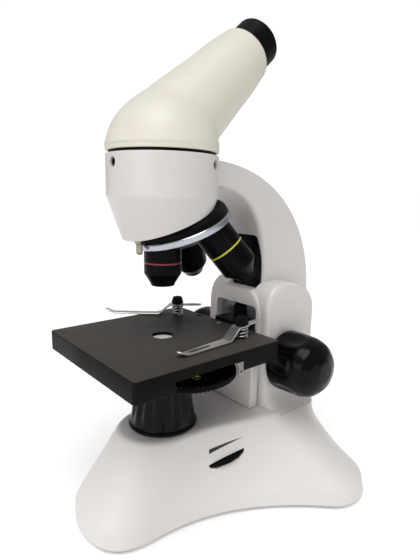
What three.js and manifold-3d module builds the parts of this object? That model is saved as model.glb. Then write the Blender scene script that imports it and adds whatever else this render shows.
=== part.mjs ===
// A student microscope: tripod base with lamp, curved arm, focusing stage, inclined head.
// Millimetres. The optical axis is X = Y = 0 while modelling, -Y is the front and Z = 0 the table.
import * as THREE from "three";
import { mergeVertices } from "three/addons/utils/BufferGeometryUtils.js";
import Module from "manifold-3d";

const wasm = await Module();
wasm.setup();

const deg = THREE.MathUtils.degToRad;
const GAP = 0.3; // left between pieces that touch

// Base
const BASE = { bottom: 2.4, top: 49.3, skirt: 11.5, wall: 3, front: -50, rear: 109.5 };
const FRONT_FOOT = { y: -23, r: 27, fullness: 18.5 };
const REAR_FOOT = { x: 54, y: 84, r: 22.5, from: deg(-45), to: deg(90) };
const PLATEAU = { r: 21.5, front: 26, half: 32.7, shoulder: 62, corner: 24, back: 100.2, rear: 109.5 };
const PAD = { r: 9, height: 2.2, places: { front: [0, -30], left: [-54, 84], right: [54, 84] } };
const PLATE = { z0: 2.5, z1: 4.5 };
const CELL = { r: 7.1, length: 50, z: 13.4, y: 65.5, pitch: 15.4 };
const TRAY = { x: 28, y0: 41, y1: 90, z1: 22.4, wall: 1.6, lip: 0.4 };
const DIMMER = { x: 17.3, y: 25.3, z: 33.4, tilt: deg(13.3), r: 17, teeth: 32, shaft: 3 };

// Lamp
const CUP = { flange: 19.2, top: 73.2, bore: 11, flutes: 12, flute: 1.3 };

// Column and arm
const ARM = { half: 14, bevel: 4, rear: 108.9, front: 64.8, foot: 49.6 };
const COLUMN = { half: 26.5, front: 55.4, rear: 99.7, top: 125, bevel: 2.6, flareR: 20, flareTop: 63.7 };
const HOOD = { half: 21.6, front: 54.8, back: 82, top: 123.5, r: 20 };
const WINDOW = { half: 17.4, top: 111, floor: 55, back: 86 };
const COVER = { half: 21.8, front: 48.2, top: 79, wall: 2 };
const ARM_PLATE = { y0: 63.2, y1: 64.4 };

// Focus drive
const SHAFT = { y: 70.5, z: 78.5, r: 2.5, half: 49 };
const GEAR = { module: 0.8, teeth: 12, share: 0.42, add: 0.8, ded: 1, rackTeeth: 9 };
const PITCH_R = (GEAR.module * GEAR.teeth) / 2;
const TOOTH_PITCH = Math.PI * GEAR.module;
const RACK_Y = SHAFT.y - PITCH_R;
const SLIDE = { half: 4.5, front: 57.5, bottom: 66.5, top: 108 };
const KNOB = { inner: 28, r: 18.1, length: 34.2 };

// Nosepiece: every objective's axis passes through the pivot point on the tilted turret axis
const NOSE = { tilt: deg(23), pivotZ: 188.5, cut: 25, ring0: 30.2, ring1: 34, ringR: 26.9 };
const HOUSING = { r: 28.5, top: 195, crease: 174.5, low: 146, lowR: 18.6 };
const OBJECTIVES = {
  low: { turn: 0, r: 9.9, tip: 60.4, tipR: 6.4, taper: 54.3, band: 48.1 },
  medium: { turn: 120, r: 10.1, tip: 72, tipR: 5, taper: 65.5, band: 52.8 },
  high: { turn: -120, r: 10, tip: 77, tipR: 6.3, taper: 69.5, band: 53.5 },
};

// Head
const HEAD = { r: 28.6, bottom: 197.3, rise: deg(42.2), axisZ: 203.5, tubeEnd: 75 };
const EYEPIECE = { r: 11.5, bore: 11.8, capR: 13.5, capEnd: 88.8 };

// Stage
const STAGE = { half: 45, top: 100, depth: 10.7, skin: 3.2, wall: 2.5, hole: 6, corner: 2.5 };
const CLIP = { x: 29.2, y: 31.3, near: deg(5.1), far: deg(-41.3), thick: 0.8, post: 1.4, seat: 7.2 };
const TAB = { y: 16.4, r: 1.8, low: 87, x: 44.9, thick: 0.8, fold: 94.4 };
const DISC = { x: 15.2, y: 3.2, r: 28, z0: 83, z1: 86, holes: 7, teeth: 40 };

// ---------------------------------------------------------------- solids

function solidOf(geometry) {
  const bare = geometry.clone();
  bare.deleteAttribute("normal");
  bare.deleteAttribute("uv");
  const merged = mergeVertices(bare, 1e-4);
  return new wasm.Manifold(
    new wasm.Mesh({
      numProp: 3,
      vertProperties: merged.attributes.position.array,
      triVerts: new Uint32Array(merged.index.array),
    }),
  );
}

function geometryOf(solid) {
  const mesh = solid.getMesh();
  const geometry = new THREE.BufferGeometry();
  geometry.setAttribute("position", new THREE.BufferAttribute(mesh.vertProperties, 3));
  geometry.setIndex(new THREE.BufferAttribute(mesh.triVerts, 1));
  geometry.computeVertexNormals();
  return geometry;
}

function cut(base, ...tools) {
  return geometryOf(tools.reduce((left, tool) => left.subtract(solidOf(tool)), solidOf(base)));
}

function join(...pieces) {
  return geometryOf(pieces.map(solidOf).reduce((whole, piece) => whole.add(piece)));
}

function box(x0, x1, y0, y1, z0, z1) {
  const geometry = new THREE.BoxGeometry(x1 - x0, y1 - y0, z1 - z0);
  return geometry.translate((x0 + x1) / 2, (y0 + y1) / 2, (z0 + z1) / 2);
}

// An upright round rod at x, y.
function rod(r, z0, z1, x = 0, y = 0, sides = 20) {
  const geometry = new THREE.CylinderGeometry(r, r, z1 - z0, sides).rotateX(Math.PI / 2);
  return geometry.translate(x, y, (z0 + z1) / 2);
}

// A solid of revolution about Z, from [radius, height] pairs that go up the outside.
function revolve(profile, sides = 24) {
  const points = profile.map(([r, z]) => new THREE.Vector2(r, z));
  return new THREE.LatheGeometry(points, sides).rotateX(Math.PI / 2);
}

// A tube of revolution about Z: up the outside, down the inside, closed.
function ringOf(profile, sides = 24) {
  return revolve([...profile, profile[0]], sides);
}

function extrude(shape, depth, bevel = 0, steps = 6) {
  const geometry = new THREE.ExtrudeGeometry(shape, {
    depth: depth - 2 * bevel,
    bevelEnabled: bevel > 0,
    bevelThickness: bevel,
    bevelSize: bevel,
    bevelOffset: -bevel,
    bevelSegments: 2,
    curveSegments: steps,
  });
  return geometry.translate(0, 0, bevel);
}

// A side outline drawn in Y, Z and given a width across X.
function acrossX(shape, x0, x1, bevel = 0, steps = 6) {
  const turn = new THREE.Matrix4().makeBasis(
    new THREE.Vector3(0, 1, 0),
    new THREE.Vector3(0, 0, 1),
    new THREE.Vector3(1, 0, 0),
  );
  return extrude(shape, x1 - x0, bevel, steps).applyMatrix4(turn).translate(x0, 0, 0);
}

// A front outline drawn in X, Z and given a depth along Y.
function acrossY(shape, y0, y1, bevel = 0, steps = 6) {
  return extrude(shape, y1 - y0, bevel, steps).rotateX(Math.PI / 2).translate(0, y1, 0);
}

function outline(...points) {
  return new THREE.Shape(points.map(([x, y]) => new THREE.Vector2(x, y)));
}

function roundedRect(x0, x1, y0, y1, r) {
  const shape = new THREE.Shape();
  shape.absarc(x1 - r, y0 + r, r, -Math.PI / 2, 0);
  shape.absarc(x1 - r, y1 - r, r, 0, Math.PI / 2);
  shape.absarc(x0 + r, y1 - r, r, Math.PI / 2, Math.PI);
  shape.absarc(x0 + r, y0 + r, r, Math.PI, 1.5 * Math.PI);
  shape.closePath();
  return shape;
}

// A closed skin over rings of points that are listed upwards, each anticlockwise from above.
function loft(rings) {
  const around = rings[0].length;
  const levels = rings.length - 1;
  const geometry = new THREE.CylinderGeometry(1, 1, 1, around, levels);
  const place = geometry.attributes.position;
  let index = 0;
  const put = (p) => place.setXYZ(index++, p.x, p.y, p.z);
  for (let level = levels; level >= 0; level--)
    for (let i = 0; i <= around; i++) put(rings[level][i % around]);
  for (const ring of [rings[levels], rings[0]]) {
    const middle = ring
      .reduce((sum, p) => sum.add(p), new THREE.Vector3())
      .divideScalar(around);
    for (let i = 0; i < around; i++) put(middle);
    for (let i = 0; i <= around; i++) put(ring[i % around]);
  }
  return geometry;
}

// A ring of points round Z whose radius may change with the angle.
function circle(z, radiusAt, sides) {
  return Array.from({ length: sides }, (_, i) => {
    const angle = (2 * Math.PI * i) / sides;
    const r = radiusAt(angle);
    return new THREE.Vector3(r * Math.cos(angle), r * Math.sin(angle), z);
  });
}

// ---------------------------------------------------------------- scene graph

const microscope = new THREE.Group();
microscope.position.y = -(BASE.front + BASE.rear) / 2; // origin under the middle of the object

function group(parent, place) {
  const child = new THREE.Group();
  place?.(child);
  parent.add(child);
  return child;
}

function paint(color, roughness, metalness = 0, opacity = 1) {
  const see = { transparent: opacity < 1, opacity };
  return new THREE.MeshStandardMaterial({ color, roughness, metalness, ...see });
}

const WHITE = paint(0xd2cccb, 0.35);
const CREAM = paint(0xe6e2d8, 0.35);
const GLOSS_BLACK = paint(0x0d0d0e, 0.12);
const SATIN_BLACK = paint(0x2c2927, 0.5);
const PLASTIC_BLACK = paint(0x1b1b1c, 0.45);
const STEEL = paint(0xb9bab8, 0.3, 1);
const CHROME = paint(0xd6d8da, 0.12, 1);
const BRASS = paint(0x9c8a64, 0.4, 1);
const RUBBER = paint(0x202020, 0.9);
const GLASS = paint(0xdfe8ea, 0.05, 0, 0.4);
const YELLOW_GLASS = paint(0xe6e06a, 0.1, 0, 0.7);
const BOARD = paint(0x2c5a3a, 0.6);
const CELL_WRAP = paint(0x8b9096, 0.4, 0.4);

function add(parent, name, geometry, material) {
  const mesh = new THREE.Mesh(geometry, material);
  mesh.name = name;
  parent.add(mesh);
  return mesh;
}

// ---------------------------------------------------------------- base

// Joins the curves of the right half, front to back, to their mirror image.
function mirroredOutline(curves, counts) {
  const right = curves.flatMap((curve, i) => curve.getPoints(counts[i]).slice(i ? 1 : 0));
  const left = right.slice(1, -1).reverse();
  return [...right, ...left.map((p) => new THREE.Vector2(-p.x, p.y))];
}

const OUTLINE_COUNTS = [5, 7, 9, 4];
const point = (x, y) => new THREE.Vector2(x, y);

// The three-footed outline at the table, drawn in by inset.
function tripodOutline(inset) {
  const r = FRONT_FOOT.r - inset;
  const foot = REAR_FOOT.r - inset;
  const ends = [REAR_FOOT.from, REAR_FOOT.to].map((a) =>
    point(REAR_FOOT.x + foot * Math.cos(a), REAR_FOOT.y + foot * Math.sin(a)),
  );
  return mirroredOutline(
    [
      new THREE.CubicBezierCurve(
        point(0, FRONT_FOOT.y - r),
        point(FRONT_FOOT.fullness, FRONT_FOOT.y - r),
        point(r, FRONT_FOOT.y - FRONT_FOOT.fullness),
        point(r, FRONT_FOOT.y),
      ),
      new THREE.CubicBezierCurve(
        point(r, FRONT_FOOT.y),
        point(r, FRONT_FOOT.y + 35),
        point(ends[0].x - 26, ends[0].y - 26),
        ends[0],
      ),
      new THREE.EllipseCurve(
        REAR_FOOT.x, REAR_FOOT.y, foot, foot, REAR_FOOT.from, REAR_FOOT.to,
      ),
      new THREE.CubicBezierCurve(
        ends[1],
        point(ends[1].x - 18, ends[1].y),
        point(20, BASE.rear - inset),
        point(0, BASE.rear - inset),
      ),
    ],
    OUTLINE_COUNTS,
  );
}

// The outline of the raised top that carries the lamp and the column.
function plateauOutline(inset) {
  const r = PLATEAU.r - inset;
  const half = PLATEAU.half - inset;
  const corner = PLATEAU.corner - inset;
  const back = PLATEAU.back - inset;
  const rear = PLATEAU.rear - inset;
  return mirroredOutline(
    [
      new THREE.EllipseCurve(0, 0, r, PLATEAU.front - inset, -Math.PI / 2, 0),
      new THREE.CubicBezierCurve(
        point(r, 0), point(r, 24), point(half, 40), point(half, PLATEAU.shoulder),
      ),
      new THREE.CubicBezierCurve(
        point(half, PLATEAU.shoulder), point(half, back - 8), point(half, back), point(corner, back),
      ),
      new THREE.CubicBezierCurve(
        point(corner, back), point(corner - 5, back), point(corner - 5, rear + 1), point(0, rear),
      ),
    ],
    OUTLINE_COUNTS,
  );
}

// The share of the rear profile in each point of the outline: none as far as the front end of
// the rear foot, all of it once round the foot.
function rearShare(i) {
  const [front, flank, foot, rear] = OUTLINE_COUNTS;
  const last = front + flank + foot + rear;
  const place = last - Math.abs(last - i);
  return THREE.MathUtils.smoothstep(place, front + flank, front + flank + 0.75 * foot);
}

// Rings from [height, climb, rear climb]: climb 0 is the tripod outline, 1 the plateau.
function baseRings(inset, levels) {
  const foot = tripodOutline(inset);
  const top = plateauOutline(inset);
  return levels.map(([z, climb, rearClimb]) =>
    foot.map((p, i) => {
      const q = p.clone().lerp(top[i], climb + (rearClimb - climb) * rearShare(i));
      return new THREE.Vector3(q.x, q.y, z);
    }),
  );
}

function baseShell() {
  const outside = loft(
    baseRings(0, [
      [BASE.bottom, 0, 0], [BASE.skirt, 0.004, 0.06], [14, 0.04, 0.17], [19, 0.17, 0.4], [27, 0.39, 0.69],
      [36, 0.64, 0.92], [44.5, 0.87, 0.99], [48.6, 0.98, 1], [BASE.top, 1, 1],
    ]),
  );
  const inside = loft(
    baseRings(BASE.wall, [
      [BASE.bottom - 1, 0, 0], [9.5, 0, 0], [17, 0.14, 0.36], [27, 0.42, 0.72], [36, 0.68, 0.94],
      [46, 0.95, 1],
    ]),
  );
  const lampHole = rod(10.5, 44, 51);
  const r = DIMMER.r + 0.5;
  const wheelSlot = alongDimmer(revolve([[0, -3.6], [r - 1.7, -3.6], [r, -1.7], [r, 0], [0, 0]], 48));
  return cut(outside, inside, lampHole, wheelSlot);
}

function basePlate() {
  const shape = new THREE.Shape(tripodOutline(BASE.wall + 0.4));
  const plate = extrude(shape, PLATE.z1 - PLATE.z0).translate(0, 0, PLATE.z0);
  const { x, y0, y1, lip } = TRAY;
  return cut(plate, box(-x + lip, x - lip, y0 + lip, y1 - lip, 0, 9));
}

function footPad() {
  const { r, height } = PAD;
  return revolve([[0, 0], [r - 0.6, 0], [r, 0.6], [r, height], [0, height]], 28);
}

function batteryTray() {
  const { x, y0, y1, z1, wall } = TRAY;
  const z0 = PLATE.z1 + GAP;
  const room = box(-x + wall, x - wall, y0 + wall, y1 - wall, z0 - 1, z1 - wall);
  return cut(box(-x, x, y0, y1, z0, z1), room);
}

function batteryCell() {
  const end = CELL.length / 2;
  const cell = revolve([
    [0, -end], [CELL.r - 0.5, -end], [CELL.r, -end + 0.5], [CELL.r, end - 2],
    [2.6, end - 1.2], [2.6, end], [0, end],
  ], 16);
  return cell.rotateY(Math.PI / 2);
}

function batteryDoor() {
  const { x, y0, y1, lip } = TRAY;
  const edge = lip + GAP;
  const panel = box(-x + edge, x - edge, y0 + edge, y1 - edge, PLATE.z0, PLATE.z1);
  const grips = [0, 1, 2].map((i) => box(-8, 8, 78 + 3 * i, 79.2 + 3 * i, 0, PLATE.z0 + 0.6));
  return cut(panel, ...grips);
}

// Places a solid made along the dimmer's leaning axis, with Z = 0 at the slot's upper edge.
function alongDimmer(geometry) {
  return geometry.rotateX(DIMMER.tilt).translate(DIMMER.x, DIMMER.y, DIMMER.z);
}

const SPINDLE_END = -18.5;

function dimmerWheel() {
  const { r, teeth, shaft } = DIMMER;
  const rim = (a) => r - (Math.round((a * teeth) / Math.PI) % 2 ? 0.35 : 0);
  const rings = [[-3.1, 1.7], [-1.7, 0], [-0.9, 0], [-0.5, 0.4]];
  const wheel = loft(rings.map(([z, edge]) => circle(z, (a) => rim(a) - edge, 2 * teeth)));
  return alongDimmer(join(wheel, rod(shaft, SPINDLE_END, -3, 0, 0, 16)));
}

function dimmerBody() {
  const { x, y, shaft } = DIMMER;
  const body = box(x - 8, x + 8, y - 5, y + 11, PLATE.z1 + GAP, 26);
  const above = alongDimmer(box(-30, 30, -30, 30, SPINDLE_END + 5, 20));
  const bore = alongDimmer(rod(shaft + GAP, SPINDLE_END - GAP, 0, 0, 0, 16));
  return cut(body, above, bore);
}

function lampBoard() {
  return revolve([[0, 43.6], [14, 43.6], [14, 45.2], [3, 45.2], [3, 46.6], [1.8, 48], [0, 48.4]]);
}

// The fluted shade round the lamp.
function lampCup() {
  const levels = [
    [49.6, CUP.flange, 0], [50.9, CUP.flange, 0], [51.5, 18.2, 0.1], [54, 17.9, 0.9],
    [71.4, 15.5, 1], [CUP.top, 14.6, 0.1],
  ];
  const wave = (a) => (1 - Math.cos(CUP.flutes * a)) / 2;
  const cup = loft(
    levels.map(([z, r, share]) => circle(z, (a) => r - CUP.flute * share * wave(a), 4 * CUP.flutes)),
  );
  return cut(cup, rod(CUP.bore, 49, 75, 0, 0, 24));
}

function lampLens() {
  const r = CUP.bore - GAP;
  return revolve([[0, 67.6], [r, 67.6], [r, 69], [8.5, 71], [4.5, 72.3], [0, 72.8]]);
}

// ---------------------------------------------------------------- column and arm

function armOutline() {
  const { front, rear, foot } = ARM;
  const shape = new THREE.Shape();
  shape.moveTo(rear, foot);
  shape.lineTo(rear, 112);
  shape.bezierCurveTo(rear, 159, 73, 194.6, 20, 194);
  shape.lineTo(20, 179.5);
  shape.bezierCurveTo(50, 180, front - 0.5, 165, front, 118);
  shape.lineTo(front, foot);
  shape.closePath();
  return shape;
}

function columnOutline() {
  const { front, rear, top } = COLUMN;
  const shape = new THREE.Shape();
  shape.moveTo(front, ARM.foot);
  shape.lineTo(rear, ARM.foot);
  shape.lineTo(rear, 104);
  shape.bezierCurveTo(rear, 119, 86, top, 71, top);
  shape.bezierCurveTo(61, top, front, 119.5, front, 107);
  shape.closePath();
  return shape;
}

// The foot of the column, which spreads out to meet the slope of the base.
function columnFlare() {
  const { half, front, rear, flareR, flareTop } = COLUMN;
  const heights = [ARM.foot, 52, 55, 58.5, flareTop];
  return loft(heights.map((z) => {
    const spread = half - 0.3 + flareR - Math.sqrt(flareR ** 2 - (flareTop - z) ** 2);
    const plan = roundedRect(-spread, spread, front + 0.6, rear - 1, 8).getPoints(4);
    return dedupe(plan).map((p) => new THREE.Vector3(p.x, p.y, z));
  }));
}

function dedupe(points) {
  return points.filter((p, i) => p.distanceTo(points[(i + 1) % points.length]) > 1e-4);
}

function hoodOutline() {
  const { half, top, r } = HOOD;
  const shape = new THREE.Shape();
  shape.moveTo(-half, 60);
  shape.lineTo(half, 60);
  shape.absarc(half - r, top - r, r, 0, Math.PI / 2);
  shape.absarc(-half + r, top - r, r, Math.PI / 2, Math.PI);
  shape.closePath();
  return shape;
}

function platePanel(grow) {
  const half = 11.6 + grow;
  const top = 152.4 + grow;
  const shape = new THREE.Shape();
  shape.moveTo(-half, 120.5 - grow);
  shape.lineTo(half, 120.5 - grow);
  shape.lineTo(half, 140);
  shape.quadraticCurveTo(half - 0.6, top - 2.6, half - 4, top);
  shape.lineTo(-half + 4, top);
  shape.quadraticCurveTo(-half + 0.6, top - 2.6, -half, 140);
  shape.closePath();
  return shape;
}

// Turns a solid made along the turret axis, with s = 0 at the pivot and s downwards, into place.
function alongTurret(geometry) {
  return geometry.rotateX(NOSE.tilt).translate(0, 0, NOSE.pivotZ);
}

// A hole for a radial set screw in the head housing, at an angle round Z.
function radialRod(r, from, to, z, angle, sides = 14) {
  return rod(r, from, to, 0, 0, sides).rotateY(Math.PI / 2).rotateZ(angle).translate(0, 0, z);
}

const PIN_PLACE = [1.2, -15, 0];
const SET_SCREW = { z: 190.3, angles: { front: deg(-90), rear: deg(30) } };

function armCasting() {
  const arm = acrossX(armOutline(), -ARM.half, ARM.half, ARM.bevel, 7);
  const column = acrossX(columnOutline(), -COLUMN.half, COLUMN.half, COLUMN.bevel, 11);
  const hood = acrossY(hoodOutline(), HOOD.front, HOOD.back, 2, 8);
  const { r, top, crease, low, lowR } = HOUSING;
  const housing = revolve(
    [[0, low], [lowR, low], [r, crease], [r, top - 0.6], [r - 0.6, top], [0, top]],
    36,
  );
  const below = alongTurret(box(-60, 60, -60, 60, -NOSE.cut - 60, -NOSE.cut));
  const shapedHousing = cut(housing, below);
  const window = acrossY(
    roundedRect(-WINDOW.half, WINDOW.half, WINDOW.floor, WINDOW.top, 3), 40, WINDOW.back, 0, 2,
  );
  const slideRoom = box(-6, 6, 57, 67, WINDOW.top - 2, 118.5);
  const shaftBore = rod(5.3, -40, 40).rotateY(Math.PI / 2).translate(0, SHAFT.y, SHAFT.z);
  return cut(
    join(arm, column, columnFlare(), hood, shapedHousing),
    window,
    slideRoom,
    shaftBore,
    acrossY(platePanel(0.4), 40, ARM_PLATE.y1 + GAP, 0, 3),
    rod(20, 166, 200, 0, 0, 24),
    alongTurret(rod(20.6, -40, -6, 0, 0, 24)),
    rod(2.05, 140, 162.4, ...PIN_PLACE.slice(0, 2), 12),
    ...Object.values(SET_SCREW.angles).map((a) => radialRod(2.5, 19, 40, SET_SCREW.z, a)),
  );
}

function frontCover() {
  const { half, front, top, wall } = COVER;
  const z0 = BASE.top + GAP;
  const back = HOOD.front - GAP;
  const outer = acrossY(roundedRect(-half, half, z0, top, 0.8), front, back, 0, 2);
  const inner = box(-half + wall, half - wall, front + wall, back + 1, z0 + wall, top - wall);
  return cut(outer, inner);
}

function armPlate() {
  const plate = acrossY(platePanel(0), ARM_PLATE.y0, ARM_PLATE.y1, 0, 3);
  const holes = PLATE_SCREWS.map(([x, z]) =>
    rod(1.6, -2, 2).rotateX(Math.PI / 2).translate(x, ARM_PLATE.y0, z),
  );
  return cut(plate, ...holes);
}

const PLATE_SCREWS = [[5.2, 145], [7.8, 124.6]];

function plateScrew([x, z]) {
  const screw = revolve([[0, -1.2], [1.3, -1.2], [1.3, 0.3], [2.1, 0.3], [1.6, 1.1], [0, 1.2]], 12);
  return screw.rotateX(Math.PI / 2).translate(x, ARM_PLATE.y0, z);
}

function slideGuide() {
  const plate = box(-16, 16, 59.5, 63.2, 56, 110.5);
  return cut(plate, box(-SLIDE.half - 0.4, SLIDE.half + 0.4, 58, 65, 57.5, 112));
}

function shaftBush() {
  return ringOf([[2.8, 0], [5, 0], [5, 9], [2.8, 9]], 24).rotateY(Math.PI / 2);
}

// ---------------------------------------------------------------- focus drive

function rackOutline() {
  const shape = [[SLIDE.front, SLIDE.bottom]];
  const root = RACK_Y - GEAR.ded;
  const tip = RACK_Y + GEAR.add;
  const slope = Math.tan(deg(20));
  const half = (GEAR.share * TOOTH_PITCH) / 2;
  shape.push([root, SLIDE.bottom]);
  for (let i = 0; i < GEAR.rackTeeth; i++) {
    const z = SHAFT.z + (i - (GEAR.rackTeeth - 1) / 2) * TOOTH_PITCH;
    const wide = half + GEAR.ded * slope;
    const narrow = half - GEAR.add * slope;
    shape.push([root, z - wide], [tip, z - narrow], [tip, z + narrow], [root, z + wide]);
  }
  shape.push([root, SLIDE.top], [SLIDE.front, SLIDE.top]);
  return outline(...shape);
}

function pinionOutline() {
  const step = (2 * Math.PI) / GEAR.teeth;
  const root = PITCH_R - GEAR.ded;
  const tip = PITCH_R + GEAR.add;
  const half = (GEAR.share * TOOTH_PITCH) / 2 / PITCH_R;
  const corners = [[root, -0.19], [PITCH_R, -half], [tip, -0.05], [tip, 0.05], [PITCH_R, half], [root, 0.19]];
  const points = [];
  for (let i = 0; i < GEAR.teeth; i++)
    for (const [r, side] of corners) {
      const angle = Math.PI + (i + 0.5) * step + side; // a gap faces the rack
      points.push([r * Math.cos(angle), r * Math.sin(angle)]);
    }
  return outline(...points);
}

function pinionShaft() {
  const gear = acrossX(pinionOutline(), -4, 4);
  const shaft = rod(SHAFT.r, -SHAFT.half, SHAFT.half, 0, 0, 20).rotateY(Math.PI / 2);
  return join(shaft, gear);
}

function focusKnob() {
  const end = KNOB.length;
  const body = revolve([
    [0, 0], [17.2, 0], [KNOB.r, 1.4], [KNOB.r, 12], [17.7, 22], [15.9, 27.6], [12, 31.8],
    [6.4, end - 0.5], [0, end],
  ], 28);
  const dimples = [20, 80, 140, 200, 260, 320].map((angle) =>
    new THREE.SphereGeometry(1, 10, 7)
      .scale(3.6, 5.8, 8)
      .translate(KNOB.r + 1.2, 0, 13)
      .rotateZ(deg(angle)),
  );
  const bore = rod(SHAFT.r + GAP, -1, SHAFT.half - KNOB.inner + GAP, 0, 0, 20);
  return cut(body, ...dimples, bore);
}

// ---------------------------------------------------------------- nosepiece

function noseCollar() {
  const { ring0, cut: face } = NOSE;
  const collar = revolve(
    [[0, -ring0 + GAP], [26.4, -ring0 + GAP], [25.4, -27], [23.2, -face - GAP],
      [20.2, -face - GAP], [20.2, -14], [0, -14]],
    32,
  );
  return cut(alongTurret(collar), rod(7, 120, 200, 0, 0, 20), alongTurret(rod(2.4, -60, -20, 0, 0, 12)));
}

function turretRing() {
  const { ring0, ring1, ringR } = NOSE;
  return ringOf([
    [25.7, -ring1], [ringR - 0.5, -ring1], [ringR, -ring1 + 0.5], [ringR, -ring0 - 0.5],
    [ringR - 0.5, -ring0], [25.7, -ring0],
  ], 40);
}

// The turn that brings a solid made along Z into line with an objective's axis, seen from the turret.
function objectiveTurn({ turn }) {
  const tilted = new THREE.Matrix4().makeRotationX(-NOSE.tilt);
  return new THREE.Matrix4().makeRotationZ(deg(turn)).multiply(tilted);
}

const OBJECTIVE_SEAT = 38;

function turretDisc() {
  const disc = revolve([
    [2.9, -40.5], [9, -40.2], [19, -37.8], [24.4, -34.6], [25.4, -33.6], [25.4, -30.5], [2.9, -30.5],
    [2.9, -40.5],
  ], 36);
  const cuts = Object.values(OBJECTIVES).flatMap((o) => [
    rod(10.4, -60, -OBJECTIVE_SEAT + GAP, 0, 0, 20).applyMatrix4(objectiveTurn(o)),
    rod(7.3, -60, -20, 0, 0, 16).applyMatrix4(objectiveTurn(o)),
  ]);
  return cut(disc, ...cuts);
}

// The screw that the turret turns on.
function turretScrew() {
  return revolve([
    [0, -42.2], [4.5, -42.2], [5, -41.7], [5, -40.9], [2.6, -40.9], [2.6, -30.1], [2.1, -30.1],
    [2.1, -21], [0, -21],
  ], 16);
}

function objectiveBarrel({ r, tip, tipR, taper, band }) {
  const bore = tipR - 1.4;
  return ringOf([
    [bore, -tip], [tipR - 0.3, -tip], [tipR, -tip + 0.3], [r - 0.4, -taper - 0.2], [r, -taper + 0.4],
    [r, -band - 0.8], [r - 0.4, -band - 0.8], [r - 0.4, -band + 0.8], [r, -band + 0.8],
    [r, -OBJECTIVE_SEAT - 0.3], [r - 0.3, -OBJECTIVE_SEAT], [7, -OBJECTIVE_SEAT], [7, -36.5],
    [bore, -36.5],
  ], 24);
}

function objectiveLens({ tip, tipR }) {
  const r = tipR - 1.4 - 0.25;
  return revolve([[0, -tip + 0.5], [r * 0.7, -tip + 0.7], [r, -tip + 1.1], [r, -tip + 3], [0, -tip + 3]], 20);
}

function detentPin() {
  return revolve([
    [0, 145.6], [1, 145.6], [1.7, 146.3], [1.7, 150.8], [1.35, 151.2], [1.35, 152],
    [1.7, 152.4], [1.7, 162], [0, 162],
  ], 16).translate(...PIN_PLACE);
}

function setScrew(angle) {
  const socket = radialRod(1, 24.4, 30, SET_SCREW.z, angle, 6);
  return cut(radialRod(2.1, 20, 26.4, SET_SCREW.z, angle), socket);
}

// ---------------------------------------------------------------- head

// A ring of the bent head: its plane leans back about a corner behind the seam.
function headRing(lean, r, back, sides) {
  const centre = new THREE.Vector3(0, back[0] - r * Math.cos(lean), back[1] + r * Math.sin(lean));
  return circle(0, () => r, sides).map((p) =>
    p.applyAxisAngle(new THREE.Vector3(1, 0, 0), -lean).add(centre),
  );
}

function tubeRing(s, r, sides) {
  const lean = Math.PI / 2 - HEAD.rise;
  const centre = new THREE.Vector3(0, s * Math.cos(HEAD.rise), HEAD.axisZ + s * Math.sin(HEAD.rise));
  return circle(0, () => r, sides).map((p) =>
    p.applyAxisAngle(new THREE.Vector3(1, 0, 0), -lean).add(centre),
  );
}

function alongTube(geometry) {
  return geometry.rotateX(HEAD.rise - Math.PI / 2).translate(0, 0, HEAD.axisZ);
}

function headShell() {
  const sides = 30;
  const { r, bottom, tubeEnd } = HEAD;
  const skin = loft([
    circle(bottom, () => r - 0.5, sides),
    circle(bottom + 0.5, () => r, sides),
    circle(200, () => r, sides),
    headRing(deg(12), 27, [r, 200.3], sides),
    headRing(deg(24), 24.4, [r, 200.6], sides),
    headRing(deg(36), 22, [r, 200.9], sides),
    headRing(deg(47.8), 21.1, [r + 0.1, 201.2], sides),
    tubeRing(45, 18.6, sides),
    tubeRing(58, 17.7, sides),
    tubeRing(tubeEnd - 4, 16, sides),
    tubeRing(tubeEnd - 1, 15.1, sides),
    tubeRing(tubeEnd, 13.8, sides),
  ]);
  const room = revolve([[0, 196], [22.8, 196], [22.4, 202], [18.6, 212], [11, 221], [0, 222]]);
  const bore = alongTube(rod(EYEPIECE.bore, 8, 80, 0, 0, 28));
  return cut(skin, room, bore);
}

function headFlange() {
  return ringOf([
    [8.5, 186], [19.6, 186], [19.6, HOUSING.top + GAP], [27, HOUSING.top + GAP],
    [27, HEAD.bottom - GAP], [8.5, HEAD.bottom - GAP],
  ], 32);
}

function headPrism() {
  const floor = HEAD.bottom;
  return acrossX(outline([-10, floor], [10, floor], [14, floor + 9], [1, floor + 20]), -9, 9);
}

function eyepieceBarrel() {
  const { r } = EYEPIECE;
  return ringOf([[r - 1.4, 45], [r, 45], [r, HEAD.tubeEnd], [r - 1.4, HEAD.tubeEnd]], 28);
}

function eyepieceCap() {
  const { capR, capEnd } = EYEPIECE;
  const start = HEAD.tubeEnd + GAP;
  return ringOf([
    [6.2, start], [capR - 0.4, start], [capR, start + 0.5], [capR, capEnd - 1.6],
    [capR - 0.6, capEnd - 0.4], [capR - 1.6, capEnd], [6.2, capEnd - 3.4],
  ], 32);
}

function eyeLens() {
  return revolve([[0, 79], [5.9, 79], [5.9, 81.6], [4, 82.5], [0, 83]], 24);
}

function fieldLens() {
  return revolve([[0, 47], [4, 47.3], [9.8, 48.6], [9.8, 50.4], [0, 50.4]], 24);
}

// ---------------------------------------------------------------- stage

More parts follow.
